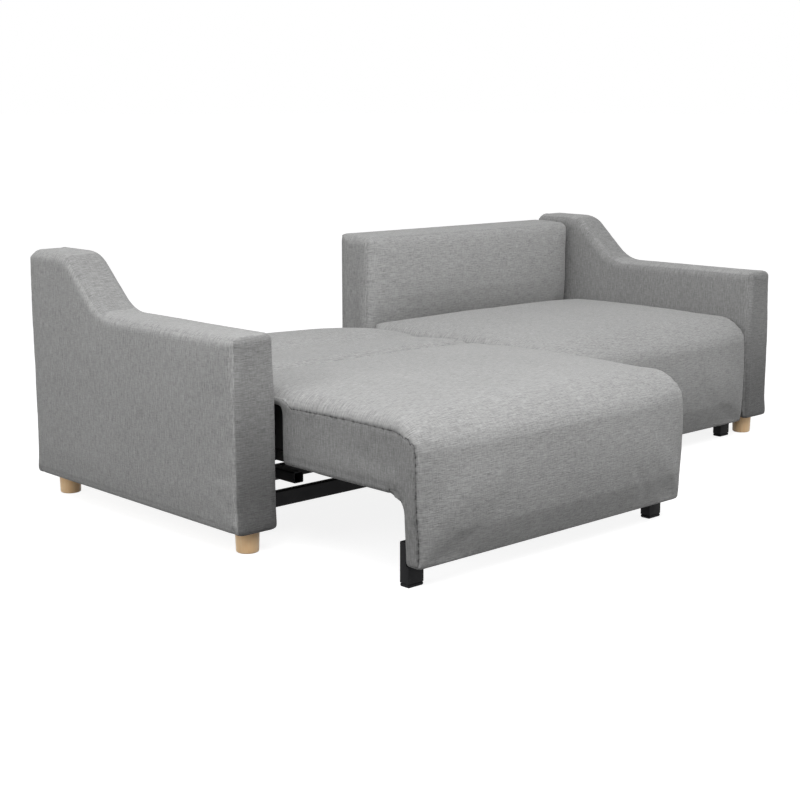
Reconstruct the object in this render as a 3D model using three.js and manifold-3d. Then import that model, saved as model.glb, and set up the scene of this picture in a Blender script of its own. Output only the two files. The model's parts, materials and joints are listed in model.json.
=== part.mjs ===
// Two-seat sleeper sofa. Each half of the seat pulls forward on its own carriage,
// and its back drops level behind it. The left half is drawn out as a bed and the
// right half is closed as a seat. Millimetres, +X along the sofa, +Y to its rear, +Z up.

import * as THREE from "three";
import { mergeVertices } from "three/addons/utils/BufferGeometryUtils.js";
import Module from "manifold-3d";

const wasm = await Module();
wasm.setup();

// Clearances
const seatedGap = 0.3;
const runningGap = 0.5;
const overrun = 1;

// Arms
const sofaWidth = 2200;
const armWidth = 116;
const armDepth = 919;
const armFrontHeight = 539;
const armRearHeight = 684;
const armRampRun = 160;
const armRearLevelLength = 189;
const armRampFootFillet = 143;
const armRampHeadFillet = 97;
const armFrontRadius = 18;
const armRearRadius = 25;
const armHemRadius = 8;
const armRimRadius = 15;
const armSeamDepth = 1.5;
const boardThickness = 18;
const boardWidth = 84;
const boardEndInset = 22;
const boardCornerRadius = 10;

// Wooden feet
const footHeight = 56;
const footDiameter = 61;
const footSoleDiameter = 57;
const footChamfer = 4;
const footFrontInset = 42;
const footRearInset = 58;

// Seat carriage
const seatTravel = 480;
const armSideGap = 14;
const halvesGap = 12;
const seatOverhang = 5.5;
const seatEdgeHeight = 392;
const seatCrown = 26;
const seatFrontCrown = 19;
const seatFrontRadius = 70;
const seatNoseRadius = 9;
const seatNoseHeight = 18;
const seatUndercut = 33;
const seatUndercutHeight = 72;
const seatUndercutRadius = 12;
const seatRimRadius = 15;
const seatSeamDepth = 2;
const skirtThickness = 48;
const skirtBottomHeight = 50;
const skirtHemRadius = 11;
const softCornerRadius = 2;
const seatRecessLength = 242;
const seatFrameLip = 12;
const seatOuterInset = 30;
const seatOuterInsetHeight = 362;
const seatInnerInset = 12;
const seatInnerInsetHeight = 330;
const skirtFilletRadius = 35;

// Seat frame, legs and their glides
const seatFrameHeight = 212;
const seatFrameThickness = 24;
const seatRailWidth = 60;
const seatFrameBays = 4;
const frameWindowRadius = 8;
const legWidth = 48;
const legHeight = 106;
const legDepth = 21;
const legHeelReach = 9;
const legRadius = 2;
const legOuterInset = 10;
const legInnerInset = 30;
const glideHeight = 8;
const glideChamfer = 2;

// Back
const backLength = 477;
const backThickness = 155;
const backSeatGap = 3;
const backRearInset = 13.5;
const bedStep = 4;
const pivotInset = 105.5;
const backCrown = 25;
const backCrownStart = 215;
const backToeRadius = 40;
const backTopRadius = 24;
const backRimRadius = 18;
const backSeamDepth = 2;
const backInsetLength = 135;
const backSideInset = 12;
const backPlateLength = 198;
const backPlateDepth = 98;
const backFrameThickness = 20;
const backFrameBevel = 8;
const backFrameInset = 8;
const backRailWidth = 55;
const backFrameBays = 4;

// Pivot arms, side plates, pins and guides
const armPlateThickness = 4;
const armPlateOutset = 2;
const pivotEyeRadius = 16;
const pivotPinDiameter = 12;
const pinHeadDiameter = 20;
const pinHeadThickness = 1.5;
const pivotArmBarLength = 180;
const pivotArmBarFromRear = 7;
const pivotArmBarDrop = 1;
const sidePlateOutset = 7;
const sidePlateRadius = 14;
const guidePinOffset = 60;
const guidePinStartAngle = Math.PI / 4;
const guideRollerDiameter = 16;
const guideStudDiameter = 10;
const guidePinEngagement = 3.5;
const guideClearance = 2;
const guideThickness = 8;
const guideBarDepth = 26;
const guideLipThickness = 8;
const guideLipHeight = 4;
const guidePadLength = 40;
const guideWindowMargin = 26;
const guideWindows = 3;

// Base rails
const crossRailHeight = 40;
const crossRailDepth = 20;
const railWall = 2;
const railRadius = 3;
const frontRailBottom = 80;
const frontRailInset = 83.5;
const middleRailInset = 239.5;
const rearRailInset = 19.5;
const centreBeamWidth = 30;
const centreFootDiameter = 50;
const centreFootFlare = 62;
const centreFootFlareHeight = 6;
const centreFootFromRear = 330;

// Slide rails and their rollers
const slideRailWidth = 30;
const slideRailHeight = 28;
const slideRailBottom = 142;
const slideRailEndInset = 85;
const slideRailFrontInset = 51.5;
const rollerDiameter = 20;
const rollerWidth = 16;
const rollerFromRear = 75;
const axleDiameter = 8;
const axleHeadDiameter = 13;
const axleHeadThickness = 2;
const bracketThickness = 4;
const bracketWidth = 44;
const bracketRailGap = 3;
const bracketTongueReach = 14;
const bracketFootWidth = 34;
const bracketFootRadius = 5;

// Fineness of the curves
const arcSteps = 4;
const rampArcSteps = 7;
const rimSteps = 3;
const crownSteps = 10;
const roundSteps = 20;
const holeSteps = 16;
const smallArcSteps = 2;
const noseArcSteps = 3;
const frontArcSteps = 5;
const frontFaceSteps = 4;
const guideSteps = 16;

// Worked-out heights and places, with Y counted from the middle of the arms' depth
const armFront = -armDepth / 2;
const armRear = armDepth / 2;
const armInnerFace = sofaWidth / 2 - armWidth;
const halfWidth = armInnerFace - armSideGap - halvesGap / 2;
const halfCentre = (halvesGap + halfWidth) / 2;
const seatFront = armFront - seatOverhang;
const seatRear = armRear - backRearInset - backThickness - backSeatGap;
const skirtInner = seatFront + skirtThickness;
const seatFrameTop = seatFrameHeight + seatFrameThickness;
const frameRear = seatRear - seatUndercut;
const sidePanelRear = frameRear - seatRecessLength;
const pivotY = seatRear + backSeatGap + pivotInset;
const pivotZ = seatEdgeHeight + bedStep - pivotInset;
const backFrontY = -pivotInset;
const backRearY = backThickness - pivotInset;
const backToeZ = -pivotInset;
const backTopZ = backLength - pivotInset;
const slideRailFront = armFront + slideRailFrontInset;
const rearRailRear = armRear - rearRailInset;
const crossRailTop = slideRailBottom - seatedGap;
const crossRailBottom = crossRailTop - crossRailHeight;
const beamTop = crossRailBottom - seatedGap;
const beamBottom = beamTop - crossRailHeight;
const backInsetHalf = halfWidth / 2 - backSideInset;

// Materials
const fabric = { color: 0x9c9c9a, roughness: 0.95, metalness: 0 };
const beech = { color: 0xddb483, roughness: 0.5, metalness: 0 };
const timber = { color: 0xc9a878, roughness: 0.7, metalness: 0 };
const stainedTimber = { color: 0x1c1b1a, roughness: 0.7, metalness: 0 };
const blackSteel = { color: 0x17171a, roughness: 0.45, metalness: 0.6 };
const zincSteel = { color: 0xa9adb0, roughness: 0.4, metalness: 0.9 };
const blackNylon = { color: 0x202022, roughness: 0.6, metalness: 0 };
const whiteNylon = { color: 0xdadad4, roughness: 0.5, metalness: 0 };

// Outlines drawn in the YZ plane are carried to run along X
const runAlongX = new THREE.Matrix4().makeBasis(
  new THREE.Vector3(0, 1, 0), new THREE.Vector3(0, 0, 1), new THREE.Vector3(1, 0, 0));
// Outlines drawn in the XZ plane are carried to run along -Y
const runAlongY = new THREE.Matrix4().makeBasis(
  new THREE.Vector3(1, 0, 0), new THREE.Vector3(0, 0, 1), new THREE.Vector3(0, -1, 0));

function mesh(name, geometry, look) {
  const made = new THREE.Mesh(geometry, new THREE.MeshStandardMaterial(look));
  made.name = name;
  return made;
}

// A closed mesh as a solid that can be cut and joined
function toSolid(geometry) {
  const bare = geometry.clone();
  bare.deleteAttribute("normal");
  bare.deleteAttribute("uv");
  const merged = mergeVertices(bare);
  return new wasm.Manifold(new wasm.Mesh({
    numProp: 3,
    vertProperties: Float32Array.from(merged.attributes.position.array),
    triVerts: Uint32Array.from(merged.index.array),
  }));
}

function toGeometry(solid) {
  const made = solid.getMesh();
  const geometry = new THREE.BufferGeometry();
  geometry.setAttribute("position", new THREE.BufferAttribute(made.vertProperties, 3));
  geometry.setIndex(new THREE.BufferAttribute(made.triVerts, 1));
  geometry.computeVertexNormals();
  return geometry;
}

// A block between two corners
function block(from, to) {
  const size = to.map((value, axis) => value - from[axis]);
  const middle = to.map((value, axis) => (value + from[axis]) / 2);
  return new THREE.BoxGeometry(...size).translate(...middle);
}

// The corners of an outline that runs anticlockwise, drawn in by inset
function drawnIn(corners, inset) {
  const edges = corners.map((corner, index) => {
    const next = corners[(index + 1) % corners.length];
    const along = new THREE.Vector2(next[0] - corner[0], next[1] - corner[1]).normalize();
    const inward = new THREE.Vector2(-along.y, along.x);
    const start = new THREE.Vector2(corner[0], corner[1]).addScaledVector(inward, inset);
    return { along, start };
  });
  return corners.map((corner, index) => {
    const last = edges[(index + edges.length - 1) % edges.length];
    const next = edges[index];
    const turn = last.along.cross(next.along);
    const apart = next.start.clone().sub(last.start);
    const at = last.start.clone().addScaledVector(last.along, apart.cross(next.along) / turn);
    const radius = turn > 0 ? Math.max(corner[2] - inset, softCornerRadius / 2) : corner[2] + inset;
    const arc = corner[3] ?? arcSteps;
    const edge = corner[4] ?? 1;
    return { at, radius, arc, edge };
  });
}

// Points round an outline of [across, up, radius, arc steps, edge steps] corners
function filleted(corners, inset = 0) {
  const inner = drawnIn(corners, inset);
  const arcs = inner.map((corner, index) => {
    if (corner.arc === 0) {
      return [corner.at];
    }
    const toLast = inner[(index + inner.length - 1) % inner.length].at.clone().sub(corner.at).normalize();
    const toNext = inner[(index + 1) % inner.length].at.clone().sub(corner.at).normalize();
    const halfAngle = Math.acos(toLast.dot(toNext)) / 2;
    const middle = toLast.clone().add(toNext).normalize();
    const centre = corner.at.clone().addScaledVector(middle, corner.radius / Math.sin(halfAngle));
    const reach = corner.radius / Math.tan(halfAngle);
    const from = corner.at.clone().addScaledVector(toLast, reach).sub(centre);
    const to = corner.at.clone().addScaledVector(toNext, reach).sub(centre);
    const turn = Math.atan2(from.cross(to), from.dot(to));
    return Array.from({ length: corner.arc + 1 }, (_, step) => from.clone()
      .rotateAround(new THREE.Vector2(), turn * step / corner.arc).add(centre));
  });
  return arcs.flatMap((arc, index) => {
    const next = arcs[(index + 1) % arcs.length][0];
    const steps = inner[index].edge;
    const between = Array.from({ length: steps - 1 }, (_, step) =>
      arc[arc.length - 1].clone().lerp(next, (step + 1) / steps));
    return [...arc, ...between];
  });
}

// The corners of a rectangle, all of one radius
function rectangle(left, right, low, high, radius) {
  return [[left, low, radius], [right, low, radius], [right, high, radius], [left, high, radius]];
}

function shapeOf(corners, holes = []) {
  const shape = new THREE.Shape(filleted(corners));
  for (const hole of holes) {
    shape.holes.push(new THREE.Path(hole));
  }
  return shape;
}

function circle(across, up, radius) {
  return new THREE.Path().absarc(across, up, radius, 0, 2 * Math.PI, false).getPoints(holeSteps / 2);
}

function extruded(shape, depth) {
  return new THREE.ExtrudeGeometry(shape, { depth, bevelEnabled: false, curveSegments: roundSteps });
}

// A plate drawn in the YZ plane that fills from one X to another
function plateAlongX(shape, from, to) {
  return extruded(shape, to - from).applyMatrix4(runAlongX).translate(from, 0, 0);
}

// A turned piece about the X axis, from [x, radius] points
function turnedAboutX(profile) {
  const points = profile.map(([along, radius]) => new THREE.Vector2(radius, along));
  return new THREE.LatheGeometry(points, roundSteps).rotateZ(-Math.PI / 2);
}

// A closed solid through a row of outlines with the same number of points
function loft(sections) {
  const count = sections[0].length;
  const positions = sections.flat().flatMap((point) => [point.x, point.y, point.z]);
  const indices = [];
  for (let row = 0; row < sections.length - 1; row += 1) {
    for (let step = 0; step < count; step += 1) {
      const near = row * count + step;
      const far = row * count + (step + 1) % count;
      indices.push(near, far, far + count, near, far + count, near + count);
    }
  }
  const last = (sections.length - 1) * count;
  const flat = sections[0].map((point) => new THREE.Vector2(point.y, point.z));
  for (const [first, second, third] of THREE.ShapeUtils.triangulateShape(flat, [])) {
    indices.push(third, second, first);
  }
  const farFlat = sections.at(-1).map((point) => new THREE.Vector2(point.y, point.z));
  for (const [first, second, third] of THREE.ShapeUtils.triangulateShape(farFlat, [])) {
    indices.push(first + last, second + last, third + last);
  }
  const geometry = new THREE.BufferGeometry();
  geometry.setAttribute("position", new THREE.Float32BufferAttribute(positions, 3));
  geometry.setIndex(indices);
  return geometry;
}

// An upholstered solid: an outline carried along X, with rounded rims, a sewn
// channel round each end panel, and a crown that move() gives each point
function upholstered(corners, half, rimRadius, seamDepth, steps, move) {
  const rows = [];
  for (let step = 0; step <= rimSteps; step += 1) {
    const angle = (Math.PI / 2) * (1 - step / rimSteps);
    rows.push({ across: half - rimRadius * (1 - Math.sin(angle)), inset: rimRadius * (1 - Math.cos(angle)) });
  }
  rows.splice(1, 0, { across: half - seamDepth / 2, inset: rimRadius / 2 + seamDepth });
  for (let step = 1; step < steps / 2; step += 1) {
    const inner = half - rimRadius;
    rows.push({ across: inner * (1 - 2 * step / steps), inset: 0 });
  }
  const left = rows.map((row) => ({ across: -row.across, inset: row.inset }));
  const middle = { across: 0, inset: 0 };
  return loft([...left, middle, ...rows.reverse()].map((row) => filleted(corners, row.inset)
    .map((point) => move(new THREE.Vector3(row.across, point.x, point.y), row.across / half))));
}

// A swelling that is full in the middle of a span and nothing at its ends
function swell(share, power) {
  return 1 - Math.abs(THREE.MathUtils.clamp(2 * share - 1, -1, 1)) ** power;
}

function between(value, low, high) {
  return THREE.MathUtils.clamp((value - low) / (high - low), 0, 1);
}

// An arm: low at the front, a smooth ramp up, and a level rear
function armCover(side) {
  const corners = [
    [armFront, footHeight, armHemRadius],
    [armRear, footHeight, armHemRadius],
    [armRear, armRearHeight, armRearRadius],
    [armRear - armRearLevelLength, armRearHeight, armRampHeadFillet, rampArcSteps],
    [armRear - armRearLevelLength - armRampRun, armFrontHeight, armRampFootFillet, rampArcSteps],
    [armFront, armFrontHeight, armFrontRadius],
  ];
  const body = upholstered(corners, armWidth / 2, armRimRadius, armSeamDepth, 2, (point) => point);
  const pocket = block(
    [-boardWidth / 2 - seatedGap, armFront + boardEndInset - seatedGap, footHeight - overrun],
    [boardWidth / 2 + seatedGap, armRear - boardEndInset + seatedGap,
      footHeight + boardThickness + seatedGap]);
  const hollowed = toSolid(body).subtract(toSolid(pocket));
  const cover = mesh(`${side.name}_arm_cover`, toGeometry(hollowed), fabric);
  cover.position.x = side.sign * (sofaWidth - armWidth) / 2;
  return cover;
}

function armBoard(side) {
  const shape = shapeOf(rectangle(-boardWidth / 2, boardWidth / 2, armFront + boardEndInset,
    armRear - boardEndInset, boardCornerRadius));
  const board = mesh(`${side.name}_arm_base_board`, extruded(shape, boardThickness), timber);
  board.position.set(side.sign * (sofaWidth - armWidth) / 2, 0, footHeight);
  return board;
}

// A turned foot that stands under an arm's board
function woodenFoot(name, side, y) {
  const profile = [
    [0, 0],
    [footSoleDiameter / 2 - footChamfer, 0],
    [footSoleDiameter / 2, footChamfer],
    [footDiameter / 2, footHeight - footChamfer],
    [footDiameter / 2, footHeight - seatedGap],
    [0, footHeight - seatedGap],
  ];
  const points = profile.map(([radius, height]) => new THREE.Vector2(radius, height));
  const foot = mesh(name, new THREE.LatheGeometry(points, roundSteps).rotateX(Math.PI / 2), beech);
  foot.position.set(side.sign * (sofaWidth - armWidth) / 2, y, 0);
  return foot;
}

// A hollow rectangular tube's outline, in whichever plane it is drawn
function tubeShape(left, right, low, high, wall, radius) {
  const bore = filleted(rectangle(left + wall, right - wall, low + wall, high - wall, radius - wall / 2));
  return shapeOf(rectangle(left, right, low, high, radius), [bore]);
}

function crossRail(name, front, bottom) {
  const shape = tubeShape(front, front + crossRailDepth, bottom, bottom + crossRailHeight,
    railWall, railRadius);
  const reach = armInnerFace - seatedGap;
  return mesh(name, plateAlongX(shape, -reach, reach), blackSteel);
}

// The beam from front to rear under the meeting line of the halves
function centreBeam() {
  const front = armFront + frontRailInset + crossRailDepth + seatedGap;
  const shape = tubeShape(-centreBeamWidth / 2, centreBeamWidth / 2, beamBottom, beamTop,
    railWall, railRadius);
  const geometry = extruded(shape, rearRailRear - front).applyMatrix4(runAlongY);
  return mesh("centre_beam", geometry.translate(0, rearRailRear, 0), blackSteel);
}

function centreFoot() {
  const top = beamBottom - seatedGap;
  const profile = [
    [0, 0],
    [centreFootFlare / 2, 0],
    [centreFootFlare / 2, centreFootFlareHeight],
    [centreFootDiameter / 2, centreFootFlareHeight + centreFootFlareHeight],
    [centreFootDiameter / 2, top],
    [0, top],
  ];
  const points = profile.map(([radius, height]) => new THREE.Vector2(radius, height));
  const turned = new THREE.LatheGeometry(points, roundSteps).rotateX(Math.PI / 2);
  const foot = mesh("centre_foot", turned, blackNylon);
  foot.position.y = armRear - centreFootFromRear;
  return foot;
}

// A rail of rectangular tube that a seat's roller runs along
function slideRail(name, side, end) {
  const shape = tubeShape(-slideRailWidth / 2, slideRailWidth / 2, slideRailBottom,
    slideRailBottom + slideRailHeight, railWall, railRadius);
  const length = rearRailRear - slideRailFront;
  const geometry = extruded(shape, length).applyMatrix4(runAlongY).translate(0, rearRailRear, 0);
  const rail = mesh(name, geometry, blackSteel);
  rail.position.x = side.sign * halfCentre + end * rollerSpan().middle;
  return rail;
}

// Where the guide pin stands, in the closed seat's frame, once the seat is drawn by a share
function guidePinAt(share) {
  const angle = guidePinStartAngle - (Math.PI / 2) * share;
  return new THREE.Vector2(
    pivotY - seatTravel * share + guidePinOffset * Math.cos(angle),
    pivotZ + guidePinOffset * Math.sin(angle));
}

// The ramp that the guide pin rolls down, as points from its rear end to its front end
function rampPoints() {
  const reach = guideRollerDiameter / 2 + runningGap;
  const small = 1 / (guideSteps * guideSteps);
  return Array.from({ length: guideSteps + 1 }, (_, step) => {
    const share = step / guideSteps;
    const along = guidePinAt(share + small).sub(guidePinAt(share - small)).normalize();
    return guidePinAt(share).add(new THREE.Vector2(-along.y, along.x).multiplyScalar(reach));
  });
}

// The guide's top edge with a stop lip at each end, from the front end to the rear end
function guideTopEdge() {
  const ramp = rampPoints().reverse();
  const reach = guideRollerDiameter / 2 + runningGap;
  const front = guidePinAt(1);
  const rear = guidePinAt(0);
  return [
    new THREE.Vector2(front.x - reach - guideLipThickness, front.y + guideLipHeight),
    new THREE.Vector2(front.x - reach, front.y + guideLipHeight),
    new THREE.Vector2(front.x - reach, ramp[0].y),
    ...ramp,
    new THREE.Vector2(rear.x + reach, ramp.at(-1).y),
    new THREE.Vector2(rear.x + reach, rear.y + guideLipHeight),
    new THREE.Vector2(rear.x + reach + guideLipThickness, rear.y + guideLipHeight),
  ];
}

// A guide bar on an arm's inner face, on two pads
function armGuide(side) {
  const top = guideTopEdge();
  const low = [top.at(-1), top[0]].map((point) => new THREE.Vector2(point.x, point.y - guideBarDepth));
  const shape = new THREE.Shape([...top, ...low]);
  const inner = armInnerFace - armSideGap + guideClearance;
  const bar = toSolid(plateAlongX(shape, inner, inner + guideThickness));
  const front = guidePinAt(1);
  const rear = guidePinAt(0);
  const drop = guideRollerDiameter / 2 + guideBarDepth / 2;
  const made = [front, rear].reduce((solid, point) => {
    const towards = point === front ? 1 : -1;
    const near = point.x;
    const far = point.x + towards * guidePadLength;
    const pad = block(
      [inner + guideThickness - overrun, Math.min(near, far), point.y - drop],
      [armInnerFace - seatedGap, Math.max(near, far), point.y - drop + guideBarDepth / 3]);
    return solid.add(toSolid(pad));
  }, bar);
  const placed = side.sign > 0 ? made : made.mirror([1, 0, 0]);
  return mesh(`${side.name}_guide`, toGeometry(placed), whiteNylon);
}

// The guide between the halves: a plate that stands on the centre beam
function centreGuide() {
  const top = guideTopEdge();
  const rearStep = rearRailRear - crossRailDepth - guideClearance;
  const ledge = crossRailTop + guideWindowMargin;
  const outline = [
    ...top,
    new THREE.Vector2(top.at(-1).x, ledge),
    new THREE.Vector2(rearStep, ledge),
    new THREE.Vector2(rearStep, beamTop + seatedGap),
    new THREE.Vector2(top[0].x, beamTop + seatedGap),
  ];
  const shape = new THREE.Shape(outline);
  const span = (rearStep - top[0].x - guideWindowMargin) / guideWindows;
  for (let bay = 0; bay < guideWindows; bay += 1) {
    const left = top[0].x + guideWindowMargin + bay * span;
    const right = left + span - guideWindowMargin;
    const slope = (guidePinAt(0).y - guidePinAt(1).y) / seatTravel;
    const rampLeft = guidePinAt(1).y + (left - guidePinAt(1).x) * slope;
    const rampRight = rampLeft + (right - left) * slope;
    const drop = guideRollerDiameter / 2 + guideWindowMargin;
    const low = beamTop + guideWindowMargin;
    shape.holes.push(new THREE.Path(filleted([
      [left, low, frameWindowRadius], [right, low, frameWindowRadius],
      [right, rampRight - drop, frameWindowRadius], [left, rampLeft - drop, frameWindowRadius],
    ])));
  }
  return mesh("centre_guide", plateAlongX(shape, -guideThickness / 2, guideThickness / 2), blackSteel);
}

// A seat: one upholstered block with a skirt down its front and a pocket for its frame
function seatCushion(side) {
  const corners = [
    [frameRear, seatFrameHeight, softCornerRadius, 1],
    [frameRear, seatEdgeHeight - seatUndercutHeight, seatUndercutRadius, smallArcSteps],
    [seatRear, seatEdgeHeight - seatNoseHeight, seatNoseRadius, smallArcSteps],
    [seatRear, seatEdgeHeight, seatNoseRadius, noseArcSteps, crownSteps],
    [seatFront, seatEdgeHeight, seatFrontRadius, frontArcSteps, frontFaceSteps],
    [seatFront, skirtBottomHeight, skirtHemRadius, smallArcSteps],
    [skirtInner, skirtBottomHeight, skirtHemRadius, smallArcSteps],
    [skirtInner, seatFrameHeight, skirtFilletRadius, arcSteps],
  ];
  const crowned = (point, share) => {
    const across = swell((share + 1) / 2, 4);
    const depth = between(point.y, seatFront, seatRear);
    const rise = seatCrown * across * (4 * depth * (1 - depth)) ** 0.7;
    const belly = seatFrontCrown * across * swell(between(point.z, skirtBottomHeight, seatEdgeHeight), 4);
    point.z += rise * between(point.z, seatEdgeHeight - seatFrontRadius, seatEdgeHeight);
    point.y -= belly * between(point.y, skirtInner, seatFront);
    return point;
  };
  const body = toSolid(upholstered(corners, halfWidth / 2, seatRimRadius, seatSeamDepth,
    crownSteps, crowned));
  const outer = toSolid(block(
    [halfWidth / 2 - seatOuterInset, sidePanelRear, seatFrameHeight - overrun],
    [halfWidth, seatRear + overrun, seatOuterInsetHeight]));
  const inner = toSolid(block(
    [-halfWidth, sidePanelRear, seatFrameHeight - overrun],
    [seatInnerInset - halfWidth / 2, seatRear + overrun, seatInnerInsetHeight]));
  const bed = new THREE.Shape(seatFrameOutline(seatedGap));
  const pocket = toSolid(extruded(bed, seatFrameThickness + 2 * seatedGap)
    .translate(0, 0, seatFrameHeight - seatedGap));
  const cut = body.subtract(outer).subtract(inner).subtract(pocket);
  return mesh(`${side.name}_seat_cushion`, forSide(cut, side), fabric);
}

// Evenly spaced windows across a frame, between its outer rails
function frameWindows(left, right, low, high, rail, bays) {
  const span = (right - left - rail) / bays;
  return Array.from({ length: bays }, (_, bay) => {
    const from = left + rail + bay * span;
    const corners = rectangle(from, from + span - rail, low + rail, high - rail, frameWindowRadius);
    return new THREE.Path(filleted(corners.map((corner) => [...corner, smallArcSteps])));
  });
}

// The seat frame's outline for the right half, grown by a margin
function seatFrameOutline(margin) {
  const wide = halfWidth / 2 - seatFrameLip + margin;
  const outer = halfWidth / 2 - seatOuterInset + margin;
  const inner = seatInnerInset - halfWidth / 2 - margin;
  const front = skirtInner + seatedGap - margin;
  const step = sidePanelRear + margin;
  const rear = frameRear + (margin > 0 ? overrun : 0);
  const corners = [
    [-wide, front], [wide, front], [wide, step], [outer, step], [outer, rear], [inner, rear], [inner, step],
    [-wide, step],
  ];
  return corners.map(([across, along]) => new THREE.Vector2(across, along));
}

function seatFrame(side) {
  const shape = new THREE.Shape(seatFrameOutline(0));
  shape.holes.push(...frameWindows(seatInnerInset - halfWidth / 2, halfWidth / 2 - seatOuterInset,
    skirtInner + seatedGap, frameRear, seatRailWidth, seatFrameBays));
  const geometry = extruded(shape, seatFrameThickness).translate(0, 0, seatFrameHeight);
  return mesh(`${side.name}_seat_frame`, forSide(toSolid(geometry), side), stainedTimber);
}

// A short front leg, fixed to the skirt's rear, with a heel that reaches under the skirt
function seatLeg(side, end) {
  const front = skirtInner + seatedGap;
  const bottom = glideHeight + seatedGap;
  const heelTop = skirtBottomHeight - seatedGap;
  const shape = shapeOf([
    [front - legHeelReach, bottom, legRadius, smallArcSteps],
    [front + legDepth, bottom, legRadius, smallArcSteps],
    [front + legDepth, legHeight, legRadius, smallArcSteps],
    [front, legHeight, legRadius, smallArcSteps],
    [front, heelTop, 0, 0],
    [front - legHeelReach, heelTop, legRadius, smallArcSteps],
  ]);
  const geometry = plateAlongX(shape, -legWidth / 2, legWidth / 2);
  const leg = mesh(`${side.name}_${end.name}_leg`, geometry, blackNylon);
  leg.position.x = end.sign * (halfWidth / 2 - end.legInset - legWidth / 2);
  return leg;
}

function legGlide(side, end) {
  const rear = skirtInner + seatedGap + legDepth;
  const front = skirtInner + seatedGap - legHeelReach;
  const shape = shapeOf(rectangle(-legWidth / 2, legWidth / 2, front, rear, legRadius + glideChamfer));
  const geometry = new THREE.ExtrudeGeometry(shape, {
    depth: glideHeight - 2 * glideChamfer,
    bevelThickness: glideChamfer, bevelSize: glideChamfer, bevelOffset: -glideChamfer, bevelSegments: 1,
  }).translate(0, 0, glideChamfer);
  const glide = mesh(`${side.name}_${end.name}_leg_glide`, geometry, blackNylon);
  glide.position.x = end.sign * (halfWidth / 2 - end.legInset - legWidth / 2);
  return glide;
}

// Mirrors a solid made for the right half where it belongs to the left
function forSide(solid, side) {
  return toGeometry(side.sign > 0 ? solid : solid.mirror([1, 0, 0]));
}

// Mirrors a solid made for a half's +X end where it belongs to the other end
function forEnd(solid, end) {
  return toGeometry(end.sign > 0 ? solid : solid.mirror([1, 0, 0]));
}

// The lever from the seat frame's rear to the back's pivot
function pivotArm(side, end) {
  const outer = halfWidth / 2 - armPlateOutset;
  const inner = outer - armPlateThickness;
  const barRear = frameRear - pivotArmBarFromRear;
  const barFront = barRear - pivotArmBarLength;
  const low = seatFrameHeight + pivotArmBarDrop;
  const high = seatFrameTop - pivotArmBarDrop;
  const lean = Math.atan2(pivotZ - (low + high) / 2, pivotY - barRear);
  const eye = Array.from({ length: arcSteps * 2 + 1 }, (_, step) => {
    const angle = lean - Math.PI / 2 + Math.PI * step / (arcSteps * 2);
    return new THREE.Vector2(
      pivotY + pivotEyeRadius * Math.cos(angle), pivotZ + pivotEyeRadius * Math.sin(angle));
  });
  const shape = new THREE.Shape([
    new THREE.Vector2(barFront, low), new THREE.Vector2(barRear, low), ...eye,
    new THREE.Vector2(barRear - pivotEyeRadius, high), new THREE.Vector2(barFront, high),
  ]);
  shape.holes.push(new THREE.Path(circle(pivotY, pivotZ, pivotPinDiameter / 2 + seatedGap)));
  const plate = toSolid(plateAlongX(shape, inner, outer));
  const frameSide = halfWidth / 2 - end.seatInset + seatedGap;
  const spacer = toSolid(block([frameSide, barFront, low], [inner + overrun, barRear, high]));
  return mesh(`${side.name}_${end.name}_pivot_arm`, forEnd(plate.add(spacer), end), blackSteel);
}

// The hanging plate with an axle that carries a roller, and a tongue beside its rail
function rollerBracket(side, end) {
  const axleY = seatRear - rollerFromRear;
  const outer = rollerSpan().middle - slideRailWidth / 2 - bracketRailGap;
  const inner = outer - bracketThickness;
  const top = seatFrameHeight - seatedGap;
  const low = slideRailBottom + slideRailHeight - bracketTongueReach;
  const half = bracketWidth / 2;
  const shape = shapeOf([
    [axleY - half / 2, low, bracketFootRadius], [axleY + half / 2, low, bracketFootRadius],
    [axleY + half, top, softCornerRadius, 1], [axleY - half, top, softCornerRadius, 1],
  ]);
  const plate = toSolid(plateAlongX(shape, inner, outer));
  const flange = toSolid(block(
    [inner, axleY - half + softCornerRadius, top - bracketThickness],
    [inner + bracketFootWidth, axleY + half - softCornerRadius, top]));
  const shoulder = rollerSpan().from - seatedGap;
  const head = rollerSpan().to + seatedGap;
  const axle = toSolid(turnedAboutX([
    [outer - overrun, 0], [outer - overrun, axleHeadDiameter / 2], [shoulder, axleHeadDiameter / 2],
    [shoulder, axleDiameter / 2], [head, axleDiameter / 2], [head, axleHeadDiameter / 2],
    [head + axleHeadThickness, axleHeadDiameter / 2], [head + axleHeadThickness, 0],
  ]).translate(0, axleY, rollerHeight()));
  const made = forEnd(plate.add(flange).add(axle), end);
  return mesh(`${side.name}_${end.name}_roller_bracket`, made, zincSteel);
}

// A roller's axis, as it stands on its rail
function rollerHeight() {
  return slideRailBottom + slideRailHeight + seatedGap + rollerDiameter / 2;
}

// A roller's reach along X at the half's +X end
function rollerSpan() {
  const middle = halfWidth / 2 - slideRailEndInset - slideRailWidth / 2;
  return { from: middle - rollerWidth / 2, middle, to: middle + rollerWidth / 2 };
}

function roller(side, end) {
  const { from, to } = rollerSpan();
  const bore = axleDiameter / 2 + seatedGap;
  const rim = rollerDiameter / 2;
  const profile = [
    [from, bore], [from, rim - seatedGap], [from + runningGap, rim], [to - runningGap, rim],
    [to, rim - seatedGap], [to, bore], [from, bore],
  ];
  const made = toSolid(turnedAboutX(profile));
  const wheel = mesh(`${side.name}_${end.name}_roller`, forEnd(made, end), whiteNylon);
  wheel.position.set(0, seatRear - rollerFromRear, rollerHeight());
  return wheel;
}

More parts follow.
